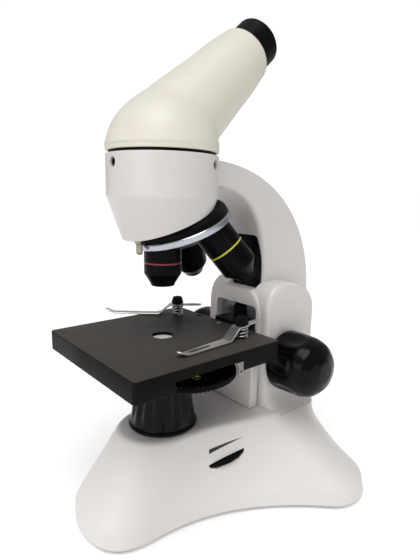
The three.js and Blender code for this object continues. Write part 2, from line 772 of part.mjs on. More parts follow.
function stagePlate() {
  const { half, top, depth, skin, wall, hole, corner } = STAGE;
  const z0 = top - depth;
  const under = top - skin;
  const slab = extrude(roundedRect(-half, half, -half, half, corner), depth, 0.5, 3);
  const room = box(-half + wall, half - wall, -half + wall, half - wall, z0 - 1, under);
  return cut(
    slab.translate(0, 0, z0),
    room,
    box(half - wall - 1, half + 1, -24, 18.6, z0 - 1, 94.7),
    box(-12.4, 12.4, half - wall - 1, half + 1, z0 - 1, under),
    rod(hole, 90, 102, 0, 0, 24),
    rod(hole + 1.2, 90, top - 1.6, 0, 0, 24),
    rod(2.2, top - 1.4, 102, 0, 41.5, 16),
    rod(1.8, 90, 102, 0, 41.5, 16),
    ...[-20, 20].map((x) => rod(1.7, 90, 102, x, 41.8, 12)),
    ...[-CLIP.x, CLIP.x].map((x) => rod(CLIP.post + GAP, 90, 102, x, CLIP.y, 12)),
  );
}

function stageGlass() {
  const { top, hole } = STAGE;
  return revolve([[0, top - 3.1], [hole + 0.9, top - 3.1], [hole + 0.9, top - 1.9], [0, top - 1.9]]);
}

function stageScrew() {
  const { top } = STAGE;
  const screw = revolve([
    [0, 91.5], [1.3, 91.5], [1.3, top - 1.1], [1.9, top - 1.1], [1.9, top - 0.3], [1.5, top], [0, top],
  ], 16);
  return cut(screw.translate(0, 41.5, 0), box(-3, 3, 41.2, 41.8, top - 0.4, top + 1));
}

function stageBracket() {
  const tongue = box(-12, 12, 28, 47, 90.5, 96.5);
  const block = box(-9, 9, STAGE.half + 1, SLIDE.front + 1, 90.5, 101.5);
  const bar = acrossX(rackOutline(), -3.5, 3.5);
  const back = box(-SLIDE.half, SLIDE.half, SLIDE.front, RACK_Y - GEAR.ded - 0.5, SLIDE.bottom, SLIDE.top);
  return cut(join(tongue, block, back, bar), rod(1.8, 88, 104, 0, 41.5, 16));
}

function discPivot() {
  return revolve([
    [0, 82.1], [4, 82.1], [4, 82.7], [2, 82.7], [2, 86.3], [4.5, 86.3], [4.5, 96.5], [0, 96.5],
  ], 20).translate(DISC.x, DISC.y, 0);
}

// The stop beside the aperture wheel: a folded strip that ends in a tongue with an eye.
function discTab() {
  const { y, r, low, x, thick, fold } = TAB;
  const shape = new THREE.Shape();
  shape.moveTo(y + r, fold);
  shape.lineTo(y - r - 1.4, fold);
  shape.lineTo(y - r, fold - 2.4);
  shape.absarc(y, low + r, r, Math.PI, 2 * Math.PI);
  shape.closePath();
  const tongue = acrossX(shape, x - thick, x);
  const shelf = box(x - 4.4, x - thick / 2, y - r, y + r, fold - thick, fold);
  const riser = box(x - 4.4, x - 4.4 + thick, y - r, y + r, fold - thick, STAGE.top - STAGE.skin - GAP);
  const eye = rod(0.7, -2, 2, 0, 0, 12).rotateY(Math.PI / 2).translate(x, y, low + r + 0.7);
  return cut(join(tongue, shelf, riser), eye);
}

const HOLE_CIRCLE = Math.hypot(DISC.x, DISC.y);
const HOLE_RADII = [4.6, 3.8, 3, 2.8, 2.2, 1.6, 1];
const FILTER_HOLE = 3;

function discHole(i) {
  const angle = Math.atan2(-DISC.y, -DISC.x) + (2 * Math.PI * i) / DISC.holes;
  return [HOLE_CIRCLE * Math.cos(angle), HOLE_CIRCLE * Math.sin(angle)];
}

// The aperture wheel turns about its own pivot and brings each hole under the specimen.
function apertureDisc() {
  const { r, z0, z1, teeth, x, y } = DISC;
  const rim = (a) => r - (Math.round((a * teeth) / Math.PI) % 2 ? 0.7 : 0);
  const wheel = loft([circle(z0, rim, 2 * teeth), circle(z1, rim, 2 * teeth)]);
  const holes = HOLE_RADII.map((hole, i) => rod(hole, z0 - 1, z1 + 1, ...discHole(i), 16));
  return cut(wheel, ...holes, rod(2.3, z0 - 1, z1 + 1, 0, 0, 20)).translate(x, y, 0);
}

function yellowFilter() {
  const [x, y] = discHole(FILTER_HOLE);
  return rod(HOLE_RADII[FILTER_HOLE] - 0.25, DISC.z1 - 1.2, DISC.z1 - 0.1, x + DISC.x, y + DISC.y, 20);
}

// ---------------------------------------------------------------- specimen clips

// Made with the post at the origin and the tip towards -Y; Z = 0 is the stage's top.
function clipStrip() {
  const t = CLIP.thick;
  const { seat } = CLIP;
  const upper = [
    [15.2, seat + 0.3], [4.6, seat], [-4.8, seat], [-11.4, 1.2], [-41, 1.2], [-43, 1.5], [-46, 3.4],
  ];
  const lower = upper.map(([y, z]) => [y, z - t]).reverse();
  const strip = acrossX(outline(...upper, ...lower), -3, 3);
  const place = strip.attributes.position;
  for (let i = 0; i < place.count; i++) {
    const y = place.getY(i);
    const narrow = y > 4.6 ? 0.6 : y < -40 ? 0.8 : 1;
    place.setX(i, place.getX(i) * narrow);
  }
  return cut(
    strip,
    rod(CLIP.post + 0.8, 3, 9, 0, 0, 16),
    extrude(roundedRect(-0.7, 0.7, -38, -24, 0.69), 6, 0, 2).translate(0, 0, -2),
  );
}

function clipKnob() {
  const { post, seat } = CLIP;
  const foot = seat + 0.4;
  return revolve([
    [0, -2.7], [post, -2.7], [post, foot], [3.4, foot], [3.7, foot + 0.4], [3.7, foot + 1.2],
    [2.8, foot + 3.9], [2.4, foot + 4.3], [0, foot + 4.3],
  ], 16);
}

class Helix extends THREE.Curve {
  constructor(r, height, turns) {
    super();
    Object.assign(this, { r, height, turns });
  }
  getPoint(t, target = new THREE.Vector3()) {
    const angle = 2 * Math.PI * this.turns * t;
    return target.set(this.r * Math.cos(angle), this.r * Math.sin(angle), this.height * t);
  }
}

function clipSpring() {
  const section = new THREE.Shape();
  section.absarc(0, 0, 0.4, 0, 2 * Math.PI);
  const turns = 3;
  const coil = new THREE.ExtrudeGeometry(section, {
    steps: 10 * turns,
    curveSegments: 3,
    extrudePath: new Helix(3.2, CLIP.seat - CLIP.thick - 1.4, turns),
    bevelEnabled: false,
  });
  return coil.translate(0, 0, 0.7);
}

// ---------------------------------------------------------------- assembly

function buildBase(parent) {
  add(parent, "base_shell", baseShell(), WHITE);
  add(parent, "base_plate", basePlate(), PLASTIC_BLACK);
  for (const [side, [x, y]] of Object.entries(PAD.places))
    add(parent, `foot_pad_${side}`, footPad().translate(x, y, 0), RUBBER);
  add(parent, "battery_tray", batteryTray(), PLASTIC_BLACK);
  for (let i = 0; i < 3; i++) {
    const cell = batteryCell().translate(0, CELL.y + (i - 1) * CELL.pitch, CELL.z);
    add(parent, `battery_${i + 1}`, cell, CELL_WRAP);
  }
  add(parent, "battery_door", batteryDoor(), PLASTIC_BLACK);
  add(parent, "lamp_board", lampBoard(), BOARD);
  add(parent, "lamp_cup", lampCup(), GLOSS_BLACK);
  add(parent, "lamp_lens", lampLens(), GLASS);
  add(parent, "dimmer_body", dimmerBody(), PLASTIC_BLACK);
  add(parent, "dimmer_wheel", dimmerWheel(), PLASTIC_BLACK);
}

function buildArm(parent) {
  add(parent, "arm_casting", armCasting(), WHITE);
  add(parent, "front_cover", frontCover(), WHITE);
  add(parent, "arm_plate", armPlate(), PLASTIC_BLACK);
  PLATE_SCREWS.forEach((place, i) =>
    add(parent, `arm_plate_screw_${i + 1}`, plateScrew(place), PLASTIC_BLACK),
  );
  add(parent, "slide_guide", slideGuide(), STEEL);
  for (const [side, sign] of [["right", 1], ["left", -1]]) {
    const bush = shaftBush().translate(17.7, 0, 0).rotateZ(sign > 0 ? 0 : Math.PI);
    add(parent, `shaft_bush_${side}`, bush.translate(0, SHAFT.y, SHAFT.z), BRASS);
  }
  add(parent, "detent_pin", detentPin(), BRASS);
  for (const [side, angle] of Object.entries(SET_SCREW.angles))
    add(parent, `head_set_screw_${side}`, setScrew(angle), SATIN_BLACK);
  add(parent, "nose_collar", noseCollar(), PLASTIC_BLACK);
}

function buildFocusDrive(parent) {
  const axle = group(parent, (g) => g.position.set(0, SHAFT.y, SHAFT.z));
  add(axle, "pinion_shaft", pinionShaft(), STEEL);
  for (const [side, sign] of [["right", 1], ["left", -1]]) {
    const knob = add(axle, `focus_knob_${side}`, focusKnob(), GLOSS_BLACK);
    knob.position.x = sign * KNOB.inner;
    knob.rotation.y = (sign * Math.PI) / 2;
  }
}

function buildTurret(parent) {
  const turret = group(parent, (g) => {
    g.position.z = NOSE.pivotZ;
    g.rotation.x = NOSE.tilt;
  });
  add(turret, "turret_screw", turretScrew(), STEEL);
  add(turret, "turret_disc", turretDisc(), PLASTIC_BLACK);
  add(turret, "turret_ring", turretRing(), CHROME);
  for (const [power, objective] of Object.entries(OBJECTIVES)) {
    const seat = group(turret, (g) => g.applyMatrix4(objectiveTurn(objective)));
    add(seat, `objective_${power}`, objectiveBarrel(objective), GLOSS_BLACK);
    add(seat, `objective_lens_${power}`, objectiveLens(objective), GLASS);
  }
}

function buildHead(parent) {
  add(parent, "head_shell", headShell(), CREAM);
  add(parent, "head_flange", headFlange(), SATIN_BLACK);
  add(parent, "head_prism", headPrism(), GLASS);
  const tube = group(parent, (g) => {
    g.position.z = HEAD.axisZ;
    g.rotation.x = HEAD.rise - Math.PI / 2;
  });
  add(tube, "eyepiece_barrel", eyepieceBarrel(), CHROME);
  add(tube, "eyepiece_cap", eyepieceCap(), SATIN_BLACK);
  add(tube, "eye_lens", eyeLens(), GLASS);
  add(tube, "field_lens", fieldLens(), GLASS);
}

function buildStage(parent) {
  add(parent, "stage_plate", stagePlate(), SATIN_BLACK);
  add(parent, "stage_glass", stageGlass(), GLASS);
  add(parent, "stage_screw", stageScrew(), STEEL);
  add(parent, "stage_bracket", stageBracket(), SATIN_BLACK);
  add(parent, "disc_pivot", discPivot(), STEEL);
  add(parent, "disc_tab", discTab(), STEEL);
  add(parent, "aperture_disc", apertureDisc(), PLASTIC_BLACK);
  add(parent, "yellow_filter", yellowFilter(), YELLOW_GLASS);
  for (const [side, sign, turn] of [["right", 1, CLIP.near], ["left", -1, CLIP.far]]) {
    const post = group(parent, (g) => {
      g.position.set(sign * CLIP.x, CLIP.y, STAGE.top);
      g.rotation.z = turn;
    });
    add(post, `clip_strip_${side}`, clipStrip(), STEEL);
    add(post, `clip_knob_${side}`, clipKnob(), PLASTIC_BLACK);
    add(post, `clip_spring_${side}`, clipSpring(), STEEL);
  }
}

for (const build of [buildBase, buildArm, buildFocusDrive, buildTurret, buildHead, buildStage])
  build(group(microscope));

export default microscope;
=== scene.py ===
"""The looks of a student microscope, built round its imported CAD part.

Shapes are made in millimetres: the optical axis is x = y = 0, the front is -y and the table is z = 0.
piece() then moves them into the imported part's frame, in metres.
"""

from math import atan2, cos, hypot, pi, radians, sin, tan

import bmesh
import bpy
from mathutils import Matrix, Vector


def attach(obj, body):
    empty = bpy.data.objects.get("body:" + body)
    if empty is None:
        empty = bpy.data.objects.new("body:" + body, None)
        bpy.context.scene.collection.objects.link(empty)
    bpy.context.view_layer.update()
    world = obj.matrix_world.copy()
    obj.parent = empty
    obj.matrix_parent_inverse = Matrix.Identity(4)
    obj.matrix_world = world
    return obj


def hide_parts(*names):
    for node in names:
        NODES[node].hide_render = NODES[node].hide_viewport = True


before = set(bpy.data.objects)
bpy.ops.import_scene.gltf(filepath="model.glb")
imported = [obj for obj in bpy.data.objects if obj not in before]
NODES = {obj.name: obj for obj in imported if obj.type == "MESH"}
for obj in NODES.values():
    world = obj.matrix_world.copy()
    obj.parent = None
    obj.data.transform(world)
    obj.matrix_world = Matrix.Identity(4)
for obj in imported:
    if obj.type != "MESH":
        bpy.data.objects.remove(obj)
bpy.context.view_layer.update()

MM = 0.001
DESIGN_ORIGIN_Y = -29.75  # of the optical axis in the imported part
TO_ROW = Matrix.Scale(MM, 4) @ Matrix.Translation((0, DESIGN_ORIGIN_Y, 0))


def add_object(name, data):
    obj = bpy.data.objects.new(name, data)
    bpy.context.scene.collection.objects.link(obj)
    return obj


def place_at(x, y, z, degrees=0.0, axis="Z"):
    return Matrix.Translation((x, y, z)) @ Matrix.Rotation(radians(degrees), 4, axis)


# ---- camera

CAMERA = {"place": (191.1, -131.0, 175.4), "azimuth": 55.57, "pan": -6.25, "pitch": 10.86, "roll": 1.15}
FOCAL_MM = 28.2
SENSOR_MM = 36
NEAREST_M = 0.01


def make_camera():
    """A level camera at the azimuth, which is then panned, pitched and rolled."""
    az, pan, pitch, roll = (radians(CAMERA[k]) for k in ("azimuth", "pan", "pitch", "roll"))
    right = Vector((cos(az), sin(az), 0))
    up = Vector((0, 0, 1))
    back = Vector((sin(az), -cos(az), 0))
    right, back = cos(pan) * right - sin(pan) * back, sin(pan) * right + cos(pan) * back
    back, up = back * cos(pitch) + up * sin(pitch), up * cos(pitch) - back * sin(pitch)
    right, up = cos(roll) * right + sin(roll) * up, cos(roll) * up - sin(roll) * right
    data = bpy.data.cameras.new("camera")
    data.lens = FOCAL_MM
    data.sensor_width = SENSOR_MM
    data.clip_start = NEAREST_M
    camera = add_object("camera", data)
    turn = Matrix((right, up, back)).transposed().to_4x4()
    camera.matrix_world = Matrix.Translation(TO_ROW @ Vector(CAMERA["place"])) @ turn
    bpy.context.scene.camera = camera


make_camera()

# ---- materials


def link(output, socket):
    output.id_data.links.new(output, socket)


def new_tree(name):
    mat = bpy.data.materials.new(name)
    mat.use_nodes = True
    tree = mat.node_tree
    tree.nodes.clear()
    out = tree.nodes.new("ShaderNodeOutputMaterial")
    shader = tree.nodes.new("ShaderNodeBsdfPrincipled")
    link(shader.outputs[0], out.inputs[0])
    return mat, tree, shader


def noise(tree, scale, detail, stretch=(1, 1, 1)):
    coords = tree.nodes.new("ShaderNodeTexCoord")
    mapping = tree.nodes.new("ShaderNodeMapping")
    mapping.inputs["Scale"].default_value = stretch
    link(coords.outputs["Object"], mapping.inputs["Vector"])
    node = tree.nodes.new("ShaderNodeTexNoise")
    node.inputs["Scale"].default_value = scale
    node.inputs["Detail"].default_value = detail
    node.inputs["Roughness"].default_value = 0.55
    link(mapping.outputs[0], node.inputs["Vector"])
    return node.outputs["Fac"]


def spread(tree, value, low, high, a=0.35, b=0.65):
    """Maps a noise value that lies mostly between a and b to low..high."""
    node = tree.nodes.new("ShaderNodeMapRange")
    for socket, number in zip(node.inputs[1:5], (a, b, low, high)):
        socket.default_value = number
    link(value, node.inputs[0])
    return node.outputs[0]


def mix_colors(tree, share, one, two):
    """Goes from one to two, each a colour or another node's output, as the share goes from 0 to 1."""
    node = tree.nodes.new("ShaderNodeMix")
    node.data_type = "RGBA"
    for socket, value in zip(node.inputs[6:8], (one, two)):
        if isinstance(value, tuple):
            socket.default_value = (*value, 1)
        else:
            link(value, socket)
    link(share, node.inputs[0])
    return node.outputs[2]


def shade(color, factor):
    return tuple(min(1.0, c * factor) for c in color)


def finish_material(
    name, color, rough, metal=0.0, coat=0.0, tone=0.05, patch=25.0, rough_spread=0.06,
    grain=900.0, grain_height=0.02, grain_strength=0.3, stretch=(1, 1, 1), edges=None, gloss=0.5,
):
    """A surface with slow colour drift, uneven gloss and fine relief. edges is a lighter colour for convex
    corners, a painted highlight on the stage enamel.
    """
    mat, tree, shader = new_tree(name)
    drift = spread(tree, noise(tree, patch, 4), 0, 1)
    tint = mix_colors(tree, drift, shade(color, 1 - tone), shade(color, 1 + tone))
    if edges:
        # convex corners get the lighter edges colour (on the stage enamel a painted highlight)
        point = tree.nodes.new("ShaderNodeNewGeometry").outputs["Pointiness"]  # 0.5 on a flat face
        tint = mix_colors(tree, spread(tree, point, 0, 0.5, 0.53, 0.62), tint, edges)
    link(tint, shader.inputs["Base Color"])
    fine = noise(tree, grain, 2, stretch)
    smear = spread(tree, noise(tree, patch * 3, 2), rough - rough_spread, rough + rough_spread)
    link(smear, shader.inputs["Roughness"])
    shader.inputs["Metallic"].default_value = metal
    shader.inputs["Specular IOR Level"].default_value = gloss
    shader.inputs["Coat Weight"].default_value = coat
    shader.inputs["Coat Roughness"].default_value = 0.08
    relief = tree.nodes.new("ShaderNodeBump")
    relief.inputs["Strength"].default_value = grain_strength
    relief.inputs["Distance"].default_value = grain_height * MM
    link(fine, relief.inputs["Height"])
    link(relief.outputs[0], shader.inputs["Normal"])
    return mat


def glass_material(name, color, rough=0.02):
    """Clear or ground glass with a little dust on it."""
    mat, tree, shader = new_tree(name)
    drift = spread(tree, noise(tree, 60, 3), 0, 1)
    tint = mix_colors(tree, drift, shade(color, 0.96), color)
    link(tint, shader.inputs["Base Color"])
    dust = spread(tree, noise(tree, 700, 4), rough, rough + 0.12, 0.5, 0.8)
    link(dust, shader.inputs["Roughness"])
    shader.inputs["Transmission Weight"].default_value = 0.9
    shader.inputs["IOR"].default_value = 1.5
    return mat


def shader_of(mat):
    return next(node for node in mat.node_tree.nodes if node.type == "BSDF_PRINCIPLED")


def painted_top_light(mat, color):
    """Paints faces that look up lighter than the sides: painted light from above."""
    tree, shader = mat.node_tree, shader_of(mat)
    under = shader.inputs["Base Color"].links[0].from_socket
    split = tree.nodes.new("ShaderNodeSeparateXYZ")
    link(tree.nodes.new("ShaderNodeNewGeometry").outputs["True Normal"], split.inputs[0])
    upward = spread(tree, split.outputs["Z"], 0, 1, 0.6, 0.95)
    link(mix_colors(tree, upward, under, color), shader.inputs["Base Color"])


PAINT = {"tone": 0.012, "rough_spread": 0.02, "grain": 420, "grain_height": 0.03, "grain_strength": 0.35}
ENAMEL = finish_material("white_enamel", (0.655, 0.62, 0.61), 0.36, coat=0.12, **PAINT)
CREAM = finish_material("cream_enamel", (0.71, 0.68, 0.59), 0.42, coat=0.04, **PAINT)
MOULDED_WHITE = finish_material(
    "moulded_white", (0.715, 0.69, 0.675), 0.4, tone=0.012, rough_spread=0.025,
    grain=1400, grain_strength=0.4,
)
GLOSS_BLACK = finish_material(
    "gloss_black", (0.002, 0.002, 0.002), 0.2, tone=0.2, rough_spread=0.04,
    grain=700, grain_height=0.01, grain_strength=0.25, gloss=0.13,
)
# stage enamel: its edges colour is a painted highlight on the rims
STAGE_BLACK = finish_material(
    "stage_enamel", (0.006, 0.0055, 0.005), 0.4, tone=0.15, rough_spread=0.04,
    grain=2600, grain_strength=0.4, edges=(0.02, 0.018, 0.016), gloss=0.04,
)
# painted light: the stage's upward faces are painted lighter than its sides
painted_top_light(STAGE_BLACK, (0.056, 0.051, 0.047))
SATIN_BLACK = finish_material(
    "satin_black", (0.0022, 0.0022, 0.0023), 0.36, tone=0.15, grain=1800, grain_height=0.015,
    edges=(0.014, 0.014, 0.014), gloss=0.07,
)
MOULDED_BLACK = finish_material(
    "moulded_black", (0.003, 0.003, 0.0031), 0.42, tone=0.15, grain=2400, grain_strength=0.4, gloss=0.07,
)
STEEL = finish_material(
    "brushed_steel", (0.60, 0.59, 0.57), 0.36, metal=1.0, tone=0.04, grain_height=0.004,
    stretch=(1, 0.05, 1), rough_spread=0.04,
)
DULL_STEEL = finish_material(
    "dull_steel", (0.25, 0.25, 0.24), 0.42, metal=1.0, tone=0.06, grain=1500, grain_height=0.01,
)
GUIDE_STEEL = finish_material(
    "ground_steel", (0.42, 0.47, 0.53), 0.33, metal=1.0, tone=0.08, stretch=(1, 1, 0.04), rough_spread=0.08,
)
POLISHED = finish_material(
    "polished_ring", (0.47, 0.50, 0.55), 0.2, metal=1.0, tone=0.05, grain=1500,
    grain_height=0.008, rough_spread=0.05,
)
BRASS = finish_material("turned_brass", (0.36, 0.33, 0.27), 0.34, metal=1.0, tone=0.12, grain=1500)
RUBBER = finish_material(
    "foot_rubber", (0.022, 0.022, 0.022), 0.78, tone=0.2, grain=2200, grain_height=0.05, grain_strength=0.6,
)
BOARD = finish_material("lamp_board", (0.03, 0.12, 0.05), 0.4, tone=0.15, grain=1200)
WRAP = finish_material("cell_wrap", (0.25, 0.27, 0.30), 0.35, metal=0.4, tone=0.08)
RED = finish_material("red_band", (0.22, 0.018, 0.022), 0.35, tone=0.1)
YELLOW = finish_material("yellow_band", (0.55, 0.50, 0.04), 0.35, tone=0.1)
PRINT = finish_material("printed_ink", (0.018, 0.017, 0.017), 0.5, tone=0.2)
# painted highlight: white for the glints on the aperture wheel's tooth tips
TOOTH_GLINT = finish_material("painted_tooth_glint", (0.75, 0.75, 0.73), 0.5, tone=0.05)
GLASS = glass_material("lens_glass", (0.92, 0.95, 0.96))
FROSTED = glass_material("lamp_glass", (0.93, 0.93, 0.88), rough=0.35)
FILTER = glass_material("filter_glass", (0.85, 0.86, 0.16), rough=0.2)

# ---- outlines and solids

ON_AXIS = 1e-6  # a radius smaller than this is a point on the axis
WELD = 1e-4  # points closer than this are one
AXES = {
    "XY": lambda u, v, w: (u, v, w),
    "YZ": lambda u, v, w: (w, u, v),
    "XZ": lambda u, v, w: (u, w, v),
}


def ease(t):
    return t * t * (3 - 2 * t)


def arc(cx, cy, r, start, end, n):
    """Points of an arc about (cx, cy), from one angle to another in degrees."""
    steps = (start + (end - start) * i / n for i in range(n + 1))
    return [(cx + r * cos(radians(a)), cy + r * sin(radians(a))) for a in steps]


def bezier(p0, p1, p2, p3, n):
    """Points of a cubic curve from p0 to p3."""
    out = []
    for i in range(n + 1):
        t = i / n
        weights = ((1 - t) ** 3, 3 * t * (1 - t) ** 2, 3 * t * t * (1 - t), t ** 3)
        out.append(tuple(sum(w * p[k] for w, p in zip(weights, (p0, p1, p2, p3))) for k in (0, 1)))
    return out


def fillet(points, n=5, closed=False):
    """Rounds the corners of a list of (x, y) or (x, y, radius)."""
    out = []
    count = len(points)
    for i, p in enumerate(points):
        radius = p[2] if len(p) > 2 else 0
        here = Vector(p[:2])
        if radius <= 0 or (not closed and i in (0, count - 1)):
            out.append(tuple(here))
            continue
        before = Vector(points[i - 1][:2]) - here
        after = Vector(points[(i + 1) % count][:2]) - here
        angle = before.angle(after)
        reach = min(radius / tan(angle / 2), 0.49 * before.length, 0.49 * after.length)
        start = here + before.normalized() * reach
        end = here + after.normalized() * reach
        for k in range(n + 1):
            t = k / n
            q = start * (1 - t) ** 2 + here * 2 * t * (1 - t) + end * t * t
            out.append(tuple(q))
    return out


def divided(line, step):
    """The same line, with points about a step apart."""
    fine = [line[0]]
    for (u0, v0), (u1, v1) in zip(line, line[1:]):
        n = max(1, round(hypot(u1 - u0, v1 - v0) / step))
        fine += [(u0 + (u1 - u0) * i / n, v0 + (v1 - v0) * i / n) for i in range(1, n + 1)]
    return fine


def faces_between(bm, lower, upper):
    """Joins two rings of points, which may share some or all of their points."""
    for i, corner in enumerate(lower):
        j = (i + 1) % len(lower)
        distinct = list(dict.fromkeys([corner, lower[j], upper[j], upper[i]]))
        if len(distinct) > 2:
            bm.faces.new(distinct)


def lathe(profile, sides=96, turn=None):
    """A solid of revolution about Z from (radius, height) pairs. turn(angle, r, z) may move the radius."""
    bm = bmesh.new()
    rings = []
    for r, z in profile:
        if r < ON_AXIS:
            rings.append([bm.verts.new((0, 0, z))] * sides)
            continue
        ring = []
        for i in range(sides):
            a = 2 * pi * i / sides
            q = turn(a, r, z) if turn else r
            ring.append(bm.verts.new((q * cos(a), q * sin(a), z)))
        rings.append(ring)
    for lower, upper in zip(rings, rings[1:]):
        faces_between(bm, lower, upper)
    if profile[0][0] > ON_AXIS:
        faces_between(bm, rings[-1], rings[0])
    return bm


def loft(rings, hollow=False):
    """A solid through rings of points. A hollow one ends where it starts; any other has flat ends."""
    bm = bmesh.new()
    made = [[bm.verts.new(p) for p in ring] for ring in rings]
    for lower, upper in zip(made, made[1:]):
        faces_between(bm, lower, upper)
    if hollow:
        faces_between(bm, made[-1], made[0])
    else:
        bm.faces.new(list(reversed(made[0])))
        bm.faces.new(made[-1])
    return bm


def slab(outline, low, high, bevel=0.0, segments=4, axes="XY"):
    """An outline pushed from low to high along the third axis, with rounded rims."""
    bm = bmesh.new()
    point = AXES[axes]
    lower = [bm.verts.new(point(u, v, low)) for u, v in outline]
    upper = [bm.verts.new(point(u, v, high)) for u, v in outline]
    faces_between(bm, lower, upper)
    caps = [bm.faces.new(list(reversed(lower))), bm.faces.new(upper)]
    bmesh.ops.recalc_face_normals(bm, faces=bm.faces)
    if bevel:
        rims = list({e for cap in caps for e in cap.edges})
        bmesh.ops.bevel(
            bm, geom=rims, offset=bevel, segments=segments, profile=0.5, affect="EDGES", clamp_overlap=True,
        )
    return bm


def block(x0, x1, y0, y1, z0, z1):
    bm = bmesh.new()
    bmesh.ops.create_cube(bm, size=1)
    size = Matrix.Diagonal((x1 - x0, y1 - y0, z1 - z0, 1))
    bm.transform(Matrix.Translation(((x0 + x1) / 2, (y0 + y1) / 2, (z0 + z1) / 2)) @ size)
    return bm


def rod(r, z0, z1, x=0.0, y=0.0, sides=48):
    bm = lathe([(0, z0), (r, z0), (r, z1), (0, z1)], sides)
    bm.transform(Matrix.Translation((x, y, 0)))
    return bm


def moved(bm, matrix):
    bm.transform(matrix)
    return bm


def as_object(bm, name):
    data = bpy.data.meshes.new(name)
    bm.to_mesh(data)
    bm.free()
    return add_object(name, data)


def combine(base, tools, operation):
    """base with every tool added or cut away, as a new bmesh."""
    for bm in (base, *tools):
        bmesh.ops.recalc_face_normals(bm, faces=bm.faces)
    target = as_object(base, "work")
    helpers = [as_object(tool, "tool") for tool in tools]
    for helper in helpers:
        modifier = target.modifiers.new("combine", "BOOLEAN")
        modifier.object = helper
        modifier.operation = operation
        modifier.solver = "EXACT"
    graph = bpy.context.evaluated_depsgraph_get()
    result = bmesh.new()
    result.from_mesh(target.evaluated_get(graph).to_mesh())
    for obj in [target, *helpers]:
        data = obj.data
        bpy.data.objects.remove(obj)
        bpy.data.meshes.remove(data)
    bmesh.ops.remove_doubles(result, verts=result.verts, dist=WELD)
    return result


def cut(base, *tools):
    return combine(base, tools, "DIFFERENCE")


def join(base, *tools):
    return combine(base, tools, "UNION")


def piece(name, bm, material, body, nodes=(), place=None, sharp=34.0):
    """Finishes a mesh made in millimetres as one piece that rides on a body and stands for CAD nodes."""
    if place:
        bm.transform(place)
    bm.transform(TO_ROW)
    bmesh.ops.recalc_face_normals(bm, faces=bm.faces)
    for face in bm.faces:
        face.smooth = True
    for edge in bm.edges:
        edge.smooth = len(edge.link_faces) == 2 and edge.calc_face_angle(pi) < radians(sharp)
    obj = as_object(bm, name)
    obj.data.materials.append(material)
    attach(obj, body)
    if nodes:
        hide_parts(*nodes)


def keep(node, material, bevel=0.0):
    """Shows a CAD node as it is, with a finer material and eased corners."""
    obj = NODES[node]
    obj.data.materials.clear()
    obj.data.materials.append(material)
    if bevel > 0:
        modifier = obj.modifiers.new("ease", "BEVEL")
        modifier.width = bevel * MM
        modifier.segments = 2
        modifier.limit_method = "ANGLE"
        modifier.angle_limit = radians(50)


# ---- base

BASE = {"bottom": 2.4, "top": 49.3, "rear": 109.5, "wall": 3.0, "round": 2.4}
FRONT_FOOT = {"y": -23.0, "r": 27.0, "fullness": 18.5, "sweep": 35.0}
REAR_FOOT = {"x": 54.0, "y": 84.0, "r": 22.5, "from": -45.0, "to": 90.0, "sweep": 26.0, "heel": 18.0}
PLATEAU = {"r": 21.5, "front": 26.0, "half": 32.7, "corner": 24.0, "back": 100.2}
SHOULDER_Y = 62.0
COUNTS = (18, 28, 27, 14)  # points of the outline at the front foot, the side, the rear foot and the rear

# How far the sides have gone from the tripod outline to the plateau's at each height.
CLIMB = [
    (2.4, 0), (11.5, 0.004), (14, 0.04), (19, 0.17), (27, 0.39), (36, 0.64), (44.5, 0.87), (47.4, 0.945),
]
REAR_CLIMB = [
    (2.4, 0), (11.5, 0.05), (14, 0.16), (19, 0.4), (27, 0.69), (36, 0.92), (44.5, 0.99), (47.4, 1),
]
RIM_CLIMB = 0.935  # where the rounded rim of the plateau starts

DIMMER = {"place": (17.3, 25.3, 33.4), "tilt": 13.3, "r": 17.0, "teeth": 64, "room": 0.5}
ALONG_DIMMER = place_at(*DIMMER["place"], DIMMER["tilt"], "X")
MARK = {"tip": (34.1, 40.9), "upper": (13.2, 38.2), "lower": (12.7, 35.8)}  # length and height on the side
INK = 0.05
FOOT_PADS = {"front": (0, -30), "left": (-54, 84), "right": (54, 84)}


def mirrored(curves):
    """A closed outline from the curves of its right half, front to rear."""
    right = [p for i, curve in enumerate(curves) for p in curve[1 if i else 0:]]
    return right + [(-x, y) for x, y in reversed(right[1:-1])]


def tripod_outline(inset):
    r = FRONT_FOOT["r"] - inset
    y = FRONT_FOOT["y"]
    full = FRONT_FOOT["fullness"]
    rear = BASE["rear"] - inset
    foot, sweep = REAR_FOOT, REAR_FOOT["sweep"]
    rounded = arc(foot["x"], foot["y"], foot["r"] - inset, foot["from"], foot["to"], COUNTS[2])
    (sx, sy), (ex, ey) = rounded[0], rounded[-1]
    return mirrored([
        bezier((0, y - r), (full, y - r), (r, y - full), (r, y), COUNTS[0]),
        bezier((r, y), (r, y + FRONT_FOOT["sweep"]), (sx - sweep, sy - sweep), (sx, sy), COUNTS[1]),
        rounded,
        bezier((ex, ey), (ex - foot["heel"], ey), (20, rear), (0, rear), COUNTS[3]),
    ])


def plateau_outline(inset):
    r, front, half, corner, back = (size - inset for size in PLATEAU.values())
    rear = BASE["rear"] - inset
    quarter = [radians(-90 + 90 * i / COUNTS[0]) for i in range(COUNTS[0] + 1)]
    last = bezier((corner, back), (corner - 5, back), (corner - 5, rear + 1), (0, rear), COUNTS[3])
    return mirrored([
        [(r * cos(a), front * sin(a)) for a in quarter],
        bezier((r, 0), (r, 24), (half, 40), (half, SHOULDER_Y), COUNTS[1]),
        bezier((half, SHOULDER_Y), (half, back - 8), (half, back), (corner, back), COUNTS[2]),
        [(x, min(y, rear)) for x, y in last],
    ])


def rear_share(i):
    """The share of the rear profile in a point of the outline: all of it once round the rear foot."""
    last = sum(COUNTS)
    t = (last - abs(last - i) - COUNTS[0] - COUNTS[1]) / (0.75 * COUNTS[2])
    return ease(max(0.0, min(1.0, t)))


